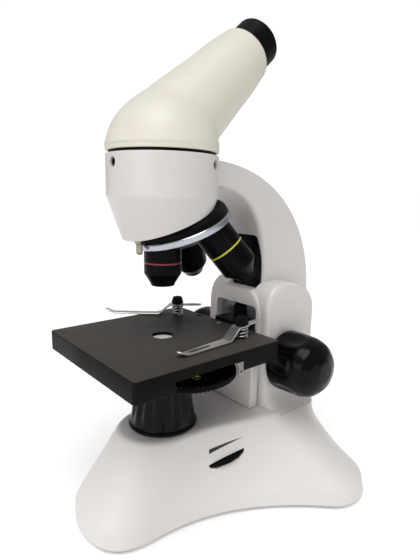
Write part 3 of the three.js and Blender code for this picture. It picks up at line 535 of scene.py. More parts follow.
def climb_at(z, knots):
    """How far the side has gone from the tripod outline to the plateau's, smoothly through the knots."""
    if z <= knots[1][0]:
        return knots[1][1] * (z - knots[0][0]) / (knots[1][0] - knots[0][0])
    last = len(knots) - 1
    i = next((i for i in range(1, last) if z <= knots[i + 1][0]), last - 1)
    (za, a), (z0, b), (z1, c), (zd, d) = knots[i - 1], knots[i], knots[i + 1], knots[min(i + 2, last)]
    rise0 = 0 if i == 1 else (c - a) / (z1 - za) * (z1 - z0)
    rise1 = (d - b) / (zd - z0) * (z1 - z0)
    t = (z - z0) / (z1 - z0)
    return b + (c - b) * ease(t) + t * (1 - t) * (rise0 * (1 - t) - rise1 * t)


def base_ring(z, climb, rear_climb, inset=0.0, top_inset=None):
    foot = tripod_outline(inset)
    top = plateau_outline(inset if top_inset is None else top_inset)
    ring = []
    for i, (a, b) in enumerate(zip(foot, top)):
        t = climb + (rear_climb - climb) * rear_share(i)
        ring.append(Vector((a[0] + (b[0] - a[0]) * t, a[1] + (b[1] - a[1]) * t, z)))
    return ring


def side_ring(z):
    return base_ring(z, climb_at(z, CLIMB), climb_at(z, REAR_CLIMB))


def base_shell():
    bottom, top, edge = BASE["bottom"], BASE["top"], BASE["round"]
    rings = [base_ring(bottom + rise, 0, 0, inset) for rise, inset in ((0, 0.7), (0.2, 0.2), (0.7, 0))]
    heights = [5, 8, 10.5, 11.5, 12.2, 13, 14, 15.5, 17, 19, 21, 23.5, 26, 29, 32, 35, 38, 41, 44, 46, 47]
    rings += [side_ring(z) for z in heights]
    for degrees in range(15, 91, 15):
        a = radians(degrees)
        climb = RIM_CLIMB + (1 - RIM_CLIMB) * degrees / 90
        rings.append(base_ring(top - edge * (1 - sin(a)), climb, 1, 0, edge * (1 - cos(a))))
    inner = [
        (bottom, 0, 0), (9.5, 0, 0), (17, 0.14, 0.36), (27, 0.42, 0.72), (36, 0.68, 0.94), (46, 0.95, 1),
    ]
    bm = bmesh.new()
    outside = [[bm.verts.new(p) for p in ring] for ring in rings]
    inside = [[bm.verts.new(p) for p in base_ring(*level, BASE["wall"])] for level in inner]
    for lower, upper in zip(outside, outside[1:]):
        faces_between(bm, lower, upper)
    for lower, upper in zip(inside, inside[1:]):
        faces_between(bm, upper, lower)
    faces_between(bm, inside[0], outside[0])
    bm.faces.new(outside[-1])
    bm.faces.new(list(reversed(inside[-1])))
    r = DIMMER["r"] + DIMMER["room"]
    slot = moved(lathe([(0, -3.6), (r - 1.7, -3.6), (r, -1.7), (r, 0), (0, 0)], 128), ALONG_DIMMER)
    return cut(bm, slot, rod(10.5, 44, 51, 0, 0, 64))


def dimmer_wheel():
    r, teeth = DIMMER["r"], DIMMER["teeth"]

    def knurl(a, q, z):
        return q - (0.35 * (0.5 + 0.5 * cos(teeth * a)) if q > r - 2.2 and z < -0.6 else 0)

    profile = fillet([
        (0, -18.5), (3, -18.5), (3, -3.1), (r - 1.7, -3.1, 0.3), (r, -1.7, 0.5), (r, -0.5, 0.5),
        (11, -0.5, 0.4), (10.4, -1.1, 0.4), (0, -1.1),
    ], 4)
    return moved(lathe(profile, teeth * 6, knurl), ALONG_DIMMER)


def side_point(y, z):
    """The point of the base's right side, ahead of the rear foot, at that length and height."""
    ring = side_ring(z)[:COUNTS[0] + COUNTS[1]]
    for a, b in zip(ring, ring[1:]):
        if a.y <= y <= b.y:
            return a.lerp(b, (y - a.y) / (b.y - a.y))
    return ring[-1]


def dimmer_mark():
    """A wedge printed above the wheel, which runs to a point at the rear."""
    tip, upper_end, lower_end = MARK.values()
    out = Vector((1, -0.15, 0.75)).normalized() * INK
    steps = 26
    rows = []
    for i in range(steps + 1):
        t = 0.99 * i / steps
        ends = [[a + (b - a) * t for a, b in zip(start, tip)] for start in (lower_end, upper_end)]
        lower, upper = (side_point(*end) for end in ends)
        rows.append([lower, lower + out, upper + out, upper])
    return loft(rows)


def lamp_cup():
    """A black shade, fluted between its flared foot and its plain rim."""
    flutes, depth = 16, 1.2
    sides = flutes * 16
    levels = [  # height, radius and share of the flutes' depth
        (49.6, 18.9, 0), (49.75, 19.15, 0), (50, 19.2, 0), (50.8, 19.2, 0), (51.1, 19, 0),
        (51.3, 18.6, 0), (51.6, 18.25, 0.02), (52.3, 18.15, 0.08), (53.5, 18, 0.22), (55, 17.8, 0.42),
        (57.5, 17.45, 0.72), (60, 17.15, 0.9), (65, 16.45, 1), (70, 15.75, 1), (71.4, 15.5, 0.8),
        (72.2, 15.3, 0.45), (72.8, 15, 0.15), (73.1, 14.6, 0), (73.2, 14.1, 0),
        (73.2, 11.6, 0), (72.9, 11.1, 0), (68, 11, 0), (49.6, 11, 0),
    ]

    def ring(z, r, share):
        out = []
        for i in range(sides):
            a = 2 * pi * i / sides
            q = r - depth * share * (1 - abs(cos(flutes * a / 2)) ** 1.6)
            out.append(Vector((q * cos(a), q * sin(a), z)))
        return out

    return loft([ring(*level) for level in levels], hollow=True)


def lamp_dome():
    profile = [(0, 67.6), (10.7, 67.6), (10.7, 69.2, 0.8), (8.2, 71.2, 3), (4.5, 72.4, 3), (0, 72.8)]
    return lathe(fillet(profile, 5), 64)


def foot_pad():
    return lathe(fillet([(0, 0), (8.4, 0, 0.5), (9, 0.8, 0.5), (9, 2.2, 0.2), (0, 2.2)], 3), 64)


def make_base():
    piece("base_body", base_shell(), MOULDED_WHITE, "stand", ["base_shell"])
    wheel = dimmer_wheel()
    piece("dimmer_knurled_wheel", wheel, MOULDED_BLACK, "dimmer", ["dimmer_wheel"])
    piece("dimmer_print", dimmer_mark(), PRINT, "stand")
    piece("lamp_shade", lamp_cup(), GLOSS_BLACK, "stand", ["lamp_cup"], sharp=60)
    piece("lamp_dome", lamp_dome(), FROSTED, "stand", ["lamp_lens"])
    for side, (x, y) in FOOT_PADS.items():
        place = place_at(x, y, 0)
        piece(f"rubber_pad_{side}", foot_pad(), RUBBER, "stand", [f"foot_pad_{side}"], place)
    keep("base_plate", MOULDED_BLACK, 0.3)
    keep("battery_door", MOULDED_BLACK, 0.2)
    keep("battery_tray", MOULDED_BLACK)
    keep("dimmer_body", MOULDED_BLACK)
    keep("lamp_board", BOARD)
    for i in (1, 2, 3):
        keep(f"battery_{i}", WRAP)


# ---- arm

ARM = {"half": 14.0, "foot": 49.6, "front": 64.8, "rear": 108.9, "bevel": 4.5}
COLUMN = {"half": 26.5, "front": 55.4, "rear": 99.7, "top": 125.0, "bevel": 3.0}
FLARE = {"r": 20.0, "top": 63.7, "low": 46.7}
HOOD = {"half": 21.6, "front": 54.8, "back": 82.0, "top": 123.5, "r": 20.0}
COVER = {"half": 21.8, "front": 48.2, "back": 54.5, "top": 79.0, "wall": 2.0}
PLATE = {"half": 11.6, "low": 120.5, "top": 152.4, "front": 63.2, "back": 64.4}
PLATE_SCREWS = ((5.2, 145.0), (7.8, 124.6))
SHAFT = (70.5, 78.5)  # length and height
NOSE_TILT = 23.0
PIVOT_Z = 188.5
ALONG_TURRET = place_at(0, 0, PIVOT_Z, NOSE_TILT, "X")
SET_SCREW = {"r": 2.1, "inner": 20.0, "outer": 27.6, "socket": 24.4, "z": 190.3}
SET_SCREWS = {"front": -90.0, "rear": 30.0}
PIN = {"x": 1.2, "y": -15.0, "tip": 145.6, "r": 1.7, "knurled": 151.2}


def radial(angle):
    """Turns a set screw made along +Z so that it points outwards from the optical axis."""
    return place_at(0, 0, SET_SCREW["z"], angle) @ Matrix.Rotation(pi / 2, 4, "Y")


def plate_outline(grow):
    half, top, low = PLATE["half"] + grow, PLATE["top"] + grow, PLATE["low"] - grow
    right = [(half, low, 0.6), (half, 141, 6), (half - 1.2, top - 1.5, 1.6), (half - 3.2, top, 1.6)]
    return fillet([(-half, low, 0.6)] + right + [(-x, z, r) for x, z, r in right[:0:-1]], 4, closed=True)


def rounded_rect(x0, x1, y0, y1, r, n=6):
    return fillet([(x0, y0, r), (x1, y0, r), (x1, y1, r), (x0, y1, r)], n, closed=True)


def column_flare():
    """The foot of the column, which spreads out to meet the slope of the base."""
    r, top, low = FLARE.values()
    rings = []
    for i in range(17):
        z = low + (top - low) * i / 16
        half = COLUMN["half"] - 0.05 + r - (r * r - (top - z) ** 2) ** 0.5
        rear = COLUMN["rear"] - 1 - 0.8 * max(0, half - 32)
        plan = rounded_rect(-half, half, COLUMN["front"] + 0.6, rear, 8, 8)
        rings.append([Vector((x, y, z)) for x, y in plan])
    return loft(rings)


def arm_curve():
    half, foot, front, rear, bevel = ARM.values()
    outline = [(front, foot), (rear, foot)]
    outline += bezier((rear, 112), (rear, 159), (73, 194.6), (20, 194), 44)
    outline += bezier((20, 179.5), (50, 180), (front - 0.5, 165), (front, 118), 30)
    return slab(outline, -half, half, bevel, 6, "YZ")


def column():
    half, front, rear, top, bevel = COLUMN.values()
    outline = [(front, ARM["foot"]), (rear, ARM["foot"])]
    outline += bezier((rear, 104), (rear, 119), (86, top), (71, top), 30)
    outline += bezier((71, top), (61, top), (front, 119.5), (front, 107), 24)[1:]
    return slab(outline, -half, half, bevel, 6, "YZ")


def hood():
    half, front, back, top, r = HOOD.values()
    outline = [(-half, 60), (half, 60)]
    outline += arc(half - r, top - r, r, 0, 90, 16) + arc(r - half, top - r, r, 90, 180, 16)
    return slab(outline, front, back, 2.2, 5, "XZ")


def housing():
    """The round housing under the head, cut off square to the turret's axis."""
    whole = lathe(fillet([(0, 140), (16.5, 140), (28.5, 174.5, 3), (28.5, 195, 0.7), (0, 195)], 5), 128)
    return cut(whole, moved(block(-60, 60, -60, 60, -85, -25), ALONG_TURRET))


def arm_casting():
    window = slab(rounded_rect(-17.4, 17.4, 55, 111, 3.2), 40, 86, axes="XZ")
    panel = slab(plate_outline(0.4), 40, 64.7, axes="XZ")
    slide_room = block(-6, 6, 57, 67, 109, 118.5)
    shaft_bore = moved(rod(5.3, -40, 40), place_at(0, *SHAFT, 90, "Y"))
    nose_bore = moved(rod(20.6, -40, -6, sides=64), ALONG_TURRET)
    head_bore = rod(20, 166, 200, sides=64)
    pin_bore = rod(PIN["r"] + 0.35, 140, 162.4, PIN["x"], PIN["y"], 32)
    screws = [moved(rod(SET_SCREW["r"] + 0.4, 19, 40, sides=32), radial(a)) for a in SET_SCREWS.values()]
    whole = join(arm_curve(), column(), column_flare(), hood(), housing())
    return cut(whole, window, panel, slide_room, shaft_bore, head_bore, nose_bore, pin_bore, *screws)


def front_cover():
    half, front, back, top, wall = COVER.values()
    outer = slab(rounded_rect(-half, half, ARM["foot"], top, 0.8, 3), front, back, 0.8, 3, "XZ")
    return cut(outer, block(wall - half, half - wall, front + wall, 56, ARM["foot"] + wall, top - wall))


def arm_plate():
    holes = [moved(rod(1.6, -2, 2, sides=32), on_plate(*place)) for place in PLATE_SCREWS]
    return cut(slab(plate_outline(0), PLATE["front"], PLATE["back"], 0.25, 2, "XZ"), *holes)


def on_plate(x, z):
    return place_at(x, PLATE["front"], z, 90, "X")


def plate_screw():
    """A cross-headed screw."""
    profile = fillet([
        (0, -1.2), (1.3, -1.2), (1.3, 0.3), (2.1, 0.3, 0.1), (2.1, 0.6, 0.2), (1.2, 1.1, 0.5), (0, 1.2),
    ], 3)
    slots = block(-1.1, 1.1, -0.2, 0.2, 0.6, 2), block(-0.2, 0.2, -1.1, 1.1, 0.6, 2)
    return cut(lathe(profile, 40), *slots)


def set_screw():
    """A headless screw with a hexagonal socket."""
    r, inner, outer, socket, _ = SET_SCREW.values()
    body = lathe(fillet([(0, inner), (r, inner, 0.2), (r, outer, 0.3), (0, outer)], 3), 40)
    return cut(body, lathe([(0, socket), (1, socket), (1, outer + 2.4), (0, outer + 2.4)], 6))


def turret_pin():
    """The knurled pin that the turret clicks against."""
    r, tip = PIN["r"], PIN["tip"]

    def knurl(a, q, z):
        return q - (0.12 * (0.5 + 0.5 * cos(20 * a)) if q > r - 0.1 and z < PIN["knurled"] else 0)

    profile = fillet([
        (0, tip), (1.0, tip, 0.4), (r, tip + 0.8, 0.4), (r, 150.8, 0.1), (1.35, 151.1), (1.35, 152.0),
        (r, 152.3), (r, 162), (0, 162),
    ], 3)
    return lathe(profile, 80, knurl)


def make_arm():
    piece("arm_body", arm_casting(), ENAMEL, "stand", ["arm_casting"])
    piece("column_cover", front_cover(), ENAMEL, "stand", ["front_cover"])
    piece("arm_black_plate", arm_plate(), SATIN_BLACK, "stand", ["arm_plate"])
    screws = [
        (f"plate_screw_{i}", plate_screw(), f"arm_plate_screw_{i}", on_plate(*place))
        for i, place in enumerate(PLATE_SCREWS, 1)
    ]
    screws += [
        (f"set_screw_{side}", set_screw(), f"head_set_screw_{side}", radial(angle))
        for side, angle in SET_SCREWS.items()
    ]
    for name, screw, node, place in screws:
        piece(name, screw, SATIN_BLACK, "stand", [node], place)
    place = place_at(PIN["x"], PIN["y"], 0)
    piece("turret_pin", turret_pin(), BRASS, "stand", ["detent_pin"], place)
    keep("slide_guide", GUIDE_STEEL, 0.25)
    keep("shaft_bush_right", BRASS)
    keep("shaft_bush_left", BRASS)


# ---- focus drive

KNOB = {"inner": 28.0, "r": 18.1, "length": 30.0}
DIMPLES = {"count": 6, "from": 20, "z": 11.5, "half_width": 6.8, "half_length": 9.0, "depth": 1.9}


def focus_knob():
    """A smooth round-ended knob with thumb dimples round its side."""
    r, end = KNOB["r"], KNOB["length"]
    pitch = 2 * pi / DIMPLES["count"]
    profile = fillet([
        (0, 0), (17.0, 0, 0.8), (r, 1.6, 1.5), (r, 9.5, 20), (17.7, 18, 14), (15.7, 23.8, 8),
        (11.6, 27.8, 6), (6, end - 0.3, 8), (0, end),
    ], 8)

    def dimpled(a, q, z):
        if q < 14:
            return q
        around = ((a - radians(DIMPLES["from"])) / pitch % 1 + 0.5) % 1 - 0.5
        d = hypot(around * pitch * r / DIMPLES["half_width"], (z - DIMPLES["z"]) / DIMPLES["half_length"])
        return q - (DIMPLES["depth"] * (1 - d * d) ** 1.4 if d < 1 else 0)

    return cut(lathe(divided(profile, 0.7), 160, dimpled), rod(2.8, -1, 21.3, sides=32))


def make_focus_drive():
    for side, sign in (("right", 1), ("left", -1)):
        place = place_at(sign * KNOB["inner"], *SHAFT, sign * 90, "Y")
        grip, node = focus_knob(), f"focus_knob_{side}"
        piece(f"focus_grip_{side}", grip, GLOSS_BLACK, "focus_drive", [node], place, 50)
    keep("pinion_shaft", STEEL)


# ---- nosepiece

OBJECTIVES = {
    "low": {"turn": 0, "r": 9.9, "tip": 60.4, "tip_r": 6.4, "taper": 54.3, "band": 48.1, "ink": RED},
    "medium": {"turn": 120, "r": 10.1, "tip": 72, "tip_r": 5, "taper": 65.5, "band": 52.8, "ink": YELLOW},
    "high": {"turn": -120, "r": 10, "tip": 77, "tip_r": 6.3, "taper": 69.5, "band": 53.5, "ink": None},
}
SEAT = 38.0


def objective_turn(o):
    """The turn from the turret's axis to an objective's."""
    return Matrix.Rotation(radians(o["turn"]), 4, "Z") @ Matrix.Rotation(radians(-NOSE_TILT), 4, "X")


def objective_barrel(o):
    r, tip, tip_r, taper, band = (o[k] for k in ("r", "tip", "tip_r", "taper", "band"))
    bore = tip_r - 1.4
    profile = fillet([
        (bore, -tip + 0.3, 0.2), (bore + 0.5, -tip), (tip_r - 0.3, -tip, 0.3), (tip_r, -tip + 0.4, 0.3),
        (tip_r + 0.15, -tip + 1.2, 0.3), (r - 0.4, -taper - 0.2, 0.5), (r, -taper + 0.5, 0.5),
        (r, -band - 0.5, 0.1), (r - 0.3, -band - 0.5), (r - 0.3, -band + 0.5), (r, -band + 0.5, 0.1),
        (r, -SEAT - 0.5, 0.3), (r - 0.4, -SEAT, 0.3), (7, -SEAT), (7, -36.5), (bore, -36.5),
    ], 4)
    return lathe(profile, 128)


def objective_lens(o):
    r, tip = o["tip_r"] - 1.65, o["tip"]
    profile = [(0, -tip + 0.5), (r * 0.7, -tip + 0.7, 1), (r, -tip + 1.1), (r, -tip + 3), (0, -tip + 3)]
    return lathe(fillet(profile, 5), 48)


def objective_ring(o):
    """The painted ring that tells an objective's power."""
    r, inner, low, high = o["r"], o["r"] - 0.28, -o["band"] - 0.45, -o["band"] + 0.45
    return lathe(fillet([(inner, low), (r, low, 0.1), (r, high, 0.1), (inner, high)], 3), 128)


def turret_disc():
    profile = fillet([
        (2.9, -40.5), (9, -40.2, 4), (19, -37.8, 4), (24.4, -34.6, 0.8), (25.4, -33.6, 0.8), (25.4, -30.5),
        (2.9, -30.5),
    ], 5)
    seats = []
    for o in OBJECTIVES.values():
        turn = objective_turn(o)
        seats.append(moved(rod(10.4, -60, -SEAT + 0.3, sides=64), turn))
        seats.append(moved(rod(7.3, -60, -20, sides=48), turn))
    return cut(lathe(profile, 128), *seats)


def nose_collar():
    profile = fillet([
        (0, -29.9), (26.3, -29.9, 0.4), (25.6, -27.4, 1.5), (23.4, -25.3, 0.6), (20.2, -25.3), (20.2, -14),
        (0, -14),
    ], 5)
    collar = moved(lathe(profile, 128), ALONG_TURRET)
    return cut(collar, rod(7, 120, 200), moved(rod(2.4, -60, -20), ALONG_TURRET))


def turret_ring():
    inner, low, high = 25.7, -34.0, -30.2
    profile = [
        (inner, low), (26.4, low, 0.3), (26.9, low + 0.6, 0.3), (26.9, high - 0.6, 0.3), (26.4, high, 0.3),
        (inner, high),
    ]
    return lathe(fillet(profile, 4), 240)


def turret_screw():
    profile = fillet([
        (0, -42.2), (4.5, -42.2, 0.3), (5, -41.7, 0.3), (5, -40.9), (2.6, -40.9), (2.6, -30.1),
        (2.1, -30.1), (2.1, -21), (0, -21),
    ], 3)
    return cut(lathe(profile, 48), block(-6, 6, -0.5, 0.5, -43, -41.6))


def make_turret():
    piece("nose_dome", nose_collar(), MOULDED_BLACK, "stand", ["nose_collar"])
    for name, bm, material, slot, node in (
        ("turret_bright_ring", turret_ring(), POLISHED, "chrome", "turret_ring"),
        ("turret_plate", turret_disc(), SATIN_BLACK, "black_plastic", "turret_disc"),
        ("turret_centre_screw", turret_screw(), STEEL, "steel", "turret_screw"),
    ):
        piece(name, bm, material, "turret", [node], ALONG_TURRET)
    for power, o in OBJECTIVES.items():
        place = ALONG_TURRET @ objective_turn(o)
        parts = [("body", objective_barrel(o), SATIN_BLACK, "gloss_black", [f"objective_{power}"])]
        if o["ink"]:
            parts.append(("ring", objective_ring(o), o["ink"], "gloss_black", []))
        parts.append(("glass", objective_lens(o), GLASS, "glass", [f"objective_lens_{power}"]))
        for name, bm, material, slot, nodes in parts:
            piece(f"objective_{name}_{power}", bm, material, "turret", nodes, place)


# ---- head

HEAD = {"r": 28.6, "lip": 196.4, "rise": 42.2, "axis_z": 203.5, "end": 75.0}
ALONG_TUBE = place_at(0, 0, HEAD["axis_z"], HEAD["rise"] - 90, "X")
EYECUP = {"r": 13.5, "low": 75.3, "end": 88.8, "ridges": 80}


def tube_ring(s, r):
    """(y, z, lean, radius) of a ring square to the tube at distance s along it."""
    rise = radians(HEAD["rise"])
    return s * cos(rise), HEAD["axis_z"] + s * sin(rise), 90 - HEAD["rise"], r


def bend_ring(lean, r, corner):
    """The same for a ring of the bend, which leans back about a corner behind the seam."""
    a = radians(lean)
    return corner[0] - r * cos(a), corner[1] + r * sin(a), lean, r


def catmull(rows, n):
    """Rows on a smooth curve through the given rows, n from each to the next."""
    out = []
    for i in range(len(rows) - 1):
        window = [rows[max(i - 1, 0)], rows[i], rows[i + 1], rows[min(i + 2, len(rows) - 1)]]
        for k in range(n):
            t = k / n
            out.append(tuple(
                b + t / 2 * (c - a + t * (2 * a - 5 * b + 4 * c - d + t * (3 * b - a - 3 * c + d)))
                for a, b, c, d in zip(*window)
            ))
    return out + [rows[-1]]


def head_rings():
    """(y, z, lean, radius) from the lip, round the bend and along the tube to its rounded mouth."""
    r, lip, end = HEAD["r"], HEAD["lip"], HEAD["end"]
    path = [(0, lip + rise, 0, r - inset) for rise, inset in ((0, 0.5), (0.15, 0.15), (0.5, 0), (0.9, 0))]
    path += catmull([
        (0, 199, 0, r), (0, 200.4, 0, r), bend_ring(12, 27.0, (r, 200.3)), bend_ring(24, 24.4, (r, 200.6)),
        bend_ring(36, 22.0, (r, 200.9)), bend_ring(47.8, 21.1, (r + 0.1, 201.2)), tube_ring(45, 18.6),
        tube_ring(58, 17.7), tube_ring(end - 4, 16.0),
    ], 6)
    for degrees in (0, 20, 40, 60, 75, 90):
        a = radians(degrees)
        path.append(tube_ring(end - 3 * (1 - sin(a)), 13.1 + 2.8 * cos(a)))
    return path


def head_shell():
    sides = 96
    circle = [(cos(2 * pi * i / sides), sin(2 * pi * i / sides)) for i in range(sides)]
    rings = []
    for y, z, lean, radius in head_rings():
        turn = Matrix.Rotation(radians(-lean), 3, "X")
        centre = Vector((0, y, z))
        rings.append([turn @ Vector((radius * u, radius * v, 0)) + centre for u, v in circle])
    room = lathe([(0, 196), (22.8, 196), (22.4, 202), (18.6, 212), (11, 221), (0, 222)], 48)
    return cut(loft(rings), room, moved(rod(11.8, 8, 80, sides=64), ALONG_TUBE))


def head_flange():
    profile = [(8.5, 186), (19.6, 186), (19.6, 195.3), (27, 195.3, 0.3), (27, 197, 0.3), (8.5, 197)]
    return lathe(fillet(profile, 3), 128)


def eyecup():
    r, low, end, ridges = EYECUP.values()

    def ridged(a, q, z):
        ridge = 0.06 * (0.5 + 0.5 * cos(ridges * a))
        return q - (ridge if q > r - 0.05 and 77 < z < 86 else 0)

    profile = fillet([
        (6.2, low), (r - 0.4, low, 0.3), (r, low + 0.7, 0.3), (r, 77.2), (r, 85.9), (r, end - 1.4, 1.0),
        (12.3, end, 0.9), (11.2, end - 0.2, 0.8), (6.2, 85.4, 0.6),
    ], 5)
    return lathe(profile, 160, ridged)


def eye_lens():
    return lathe(fillet([(0, 79), (5.9, 79), (5.9, 81.6, 0.2), (4, 82.5, 2), (0, 83)], 5), 64)


def make_head():
    piece("head_body", head_shell(), CREAM, "head", ["head_shell"])
    piece("head_seam_ring", head_flange(), SATIN_BLACK, "head", ["head_flange"])
    keep("head_prism", GLASS)
    keep("eyepiece_barrel", POLISHED)
    keep("field_lens", GLASS)
    cap = eyecup()
    piece("eyepiece_eyecup", cap, SATIN_BLACK, "eyepiece", ["eyepiece_cap"], ALONG_TUBE, 40)
    piece("eyepiece_glass", eye_lens(), GLASS, "eyepiece", ["eye_lens"], ALONG_TUBE)


# ---- stage

STAGE = {"half": 45.0, "low": 89.3, "top": 100.0, "wall": 2.5, "under": 96.8, "screw_y": 41.5}
DISC = {"x": 15.2, "y": 3.2, "r": 28.0, "low": 83.0, "top": 86.0, "teeth": 80, "glints": 7}
HOLE_RADII = (4.6, 3.8, 3, 2.8, 2.2, 1.6, 1)
FILTER_HOLE = 3
TAB = {"y": 16.4, "r": 1.8, "low": 87.0, "x": 44.9, "thick": 0.8, "fold": 94.4}
CLIPS = {"right": (29.2, 5.1), "left": (-29.2, -41.3)}  # each post's place across and its strip's turn
CLIP_Y = 31.3
STRIP = {"thick": 0.8, "seat": 7.2, "flat": 0.8}  # seat and flat are its heights at the post and the finger
SPRING = {"r": 3.2, "wire": 0.42, "turns": 3.5, "low": 0.72, "rise": 4.95}


def stage_plate():
    half, low, top, wall, under, screw_y = STAGE.values()
    plate = slab(rounded_rect(-half, half, -half, half, 2.5), low, top, 0.6, 3)
    cuts = [
        block(-half + wall, half - wall, -half + wall, half - wall, low - 1, under),
        block(half - 3.5, half + 1, -24, 18.6, low - 1, 94.7),
        block(-12.4, 12.4, half - 3.5, half + 1, low - 1, under),
        rod(6, 90, 102, sides=64),
        rod(7.2, 90, 98.4, sides=64),
        rod(2.2, 98.6, 102, 0, screw_y),
        rod(1.8, 90, 102, 0, screw_y),
    ]
    cuts += [rod(1.7, 90, 102, x, 41.8) for x in (-20, 20)]
    cuts += [rod(1.7, 90, 102, x, CLIP_Y) for x, _ in CLIPS.values()]
    return cut(plate, *cuts)


def stage_window():
    return lathe(fillet([(0, 96.9), (6.9, 96.9, 0.15), (6.9, 98.1, 0.15), (0, 98.1)], 2), 64)


def stage_screw():
    profile = fillet([
        (0, 91.5), (1.3, 91.5), (1.3, 98.9), (1.9, 98.9), (1.9, 99.7, 0.2), (1.5, 100, 0.3), (0, 100),
    ], 3)
    return cut(lathe(profile, 48), block(-3, 3, -0.25, 0.25, 99.6, 101))


def disc_hole(i):
    angle = atan2(-DISC["y"], -DISC["x"]) + 2 * pi * i / len(HOLE_RADII)
    circle = hypot(DISC["x"], DISC["y"])
    return circle * cos(angle), circle * sin(angle)


def aperture_disc():
    r, low, top, teeth = DISC["r"], DISC["low"], DISC["top"], DISC["teeth"]

    def toothed(a, q, z):
        wave = 0.5 + 0.5 * max(-1.0, min(1.0, 2.2 * cos(teeth * a)))
        return q - (0.75 * wave if q > r - 1 else 0)

    profile = fillet([
        (0, low), (r - 0.4, low), (r, low + 0.4), (r, top - 0.4), (r - 0.4, top), (26.2, top),
        (25.9, top - 0.2), (0, top - 0.2),
    ], 3)
    holes = [rod(hole, 80, 90, *disc_hole(i), 48) for i, hole in enumerate(HOLE_RADII)]
    return cut(lathe(profile, teeth * 8, toothed), *holes, rod(2.3, 80, 90))


def yellow_filter():
    return lathe(fillet([(0, 84.7), (2.5, 84.7), (2.5, 85.5, 0.2), (0, 85.5)], 3), 40)


# A tiny white dot on a tooth tip of the aperture wheel: a painted highlight.
def tooth_glint_dot():
    return lathe(fillet([(0, 85.7), (0.45, 85.7), (0.45, 85.95, 0.05), (0, 85.95)], 2), 20)


def disc_tab():
    """A folded strip under the stage that ends in a tongue with an eye."""
    y, r, low, x, thick, fold = TAB.values()
    outline = [(y + r, fold), (y - r - 1.4, fold), (y - r, fold - 2.4)] + arc(y, low + r, r, 180, 360, 24)
    tongue = slab(outline, x - thick, x, 0.12, 2, "YZ")
    shelf = block(x - 4.4, x - thick / 2, y - r, y + r, fold - thick, fold - 0.02)
    riser = block(x - 4.4, x - 4.4 + thick, y - r, y + r, fold - thick + 0.01, 96.5)
    eye = moved(rod(0.75, -2, 2, sides=32), place_at(x, y, low + r + 0.7, 90, "Y"))
    return cut(join(tongue, shelf, riser), eye)


def strip_width(y):
    """Half the clip's width along it: a round eye at the post, a narrow tail, a long finger."""
    if y > 13.8:
        return max(0.25, (max(0.0, 1.9 ** 2 - (y - 13.3) ** 2)) ** 0.5)
    if y > 4.6:
        return 1.9
    if y > 2.6:
        return 1.9 + 1.3 * ease((4.6 - y) / 2)
    if y > -40:
        return 3.2 - 0.75 * max(0.0, (-11.4 - y) / 28.6)
    if y > -44.4:
        return 2.45 - 0.55 * (-40 - y) / 4.4
    return max(0.25, (max(0.0, 1.9 ** 2 - (y + 44.2) ** 2)) ** 0.5)


def clip_strip():
    """A bent spring strip with a long slot in its finger."""
    thick, flat = STRIP["thick"], STRIP["flat"]
    seat = STRIP["seat"] - thick / 2
    line = divided(fillet([
        (15.2, seat + 0.3, 0), (4.6, seat, 14), (-4.6, seat, 1.2), (-11.4, flat, 2.2), (-41.0, flat, 4),
        (-46, flat + 2.2, 0),
    ], 8), 0.5)
    rings = []
    for i, (y, z) in enumerate(line):
        before, after = line[max(i - 1, 0)], line[min(i + 1, len(line) - 1)]
        along = Vector((after[0] - before[0], after[1] - before[1])).normalized()
        normal = Vector((along.y, -along.x)) * thick / 2
        half = strip_width(y)
        edge = min(0.2, half / 2)
        right = [(half - edge, -1), (half, -0.5), (half, 0.5), (half - edge, 1)]
        section = [(-x, k) for x, k in right[1::-1]] + right + [(-x, k) for x, k in right[:1:-1]]
        rings.append([(x, y + normal.x * k, z + normal.y * k) for x, k in section])
    slot = slab(rounded_rect(-0.7, 0.7, -38, -24, 0.69), -3, 4)
    eye = slab(rounded_rect(-0.8, 0.8, 7.5, 12.6, 0.79), 3, 9)
    return cut(loft(rings), rod(2.1, 3, 9), slot, eye)


def clip_spring():
    """A coil spring that lies flat at both ends."""
    r, wire, turns, low, rise = SPRING.values()
    steps, sides = int(32 * turns), 12
    angles = [2 * pi * k / sides for k in range(sides)]
    rings = []
    for i in range(steps + 1):
        a = 2 * pi * turns * i / steps
        climb = min(max((i / steps - 0.12) / 0.76, 0), 1)
        out = Vector((cos(a), sin(a), 0))
        centre = out * r + Vector((0, 0, low + rise * climb))
        rings.append([centre + out * wire * cos(b) + Vector((0, 0, wire * sin(b))) for b in angles])
    return loft(rings)


def clip_knob():
    """A small knob with flat flutes that gets narrower upwards."""
    foot = STRIP["seat"] + 0.4

    def fluted(a, r, z):
        return r - (0.3 * (0.5 + 0.5 * cos(10 * a)) if r > 2.6 and foot + 0.5 < z < foot + 4 else 0)

    profile = fillet([
        (0, -2.7), (1.4, -2.7, 0.2), (1.4, foot), (3.4, foot, 0.3), (3.7, foot + 0.5, 0.3),
        (3.7, foot + 1.3, 0.6), (2.9, foot + 3.9, 0.3), (2.5, foot + 4.3, 0.3), (1.7, foot + 4.3, 0.1),
        (1.5, foot + 4.1, 0.1), (0, foot + 4.1),
    ], 4)
    return lathe(divided(profile, 0.4), 120, fluted)


def make_disc():
    x, y, body = DISC["x"], DISC["y"], "aperture_wheel"
    place = place_at(x, y, 0)
    piece(body, aperture_disc(), MOULDED_BLACK, body, ["aperture_disc"], place, 30)
    hole_x, hole_y = disc_hole(FILTER_HOLE)
    place = place_at(x + hole_x, y + hole_y, 0)
    piece("yellow_disc", yellow_filter(), FILTER, body, ["yellow_filter"], place)
    # painted highlights: white dots on seven tooth tips, one tooth apart
    for i in range(DISC["glints"]):
        a = radians(-44.5 + 4.6 * i)
        place = place_at(x + 26.6 * cos(a), y + 26.6 * sin(a), 0)
        piece(f"aperture_tooth_glint_{i}", tooth_glint_dot(), TOOTH_GLINT, body, (), place)


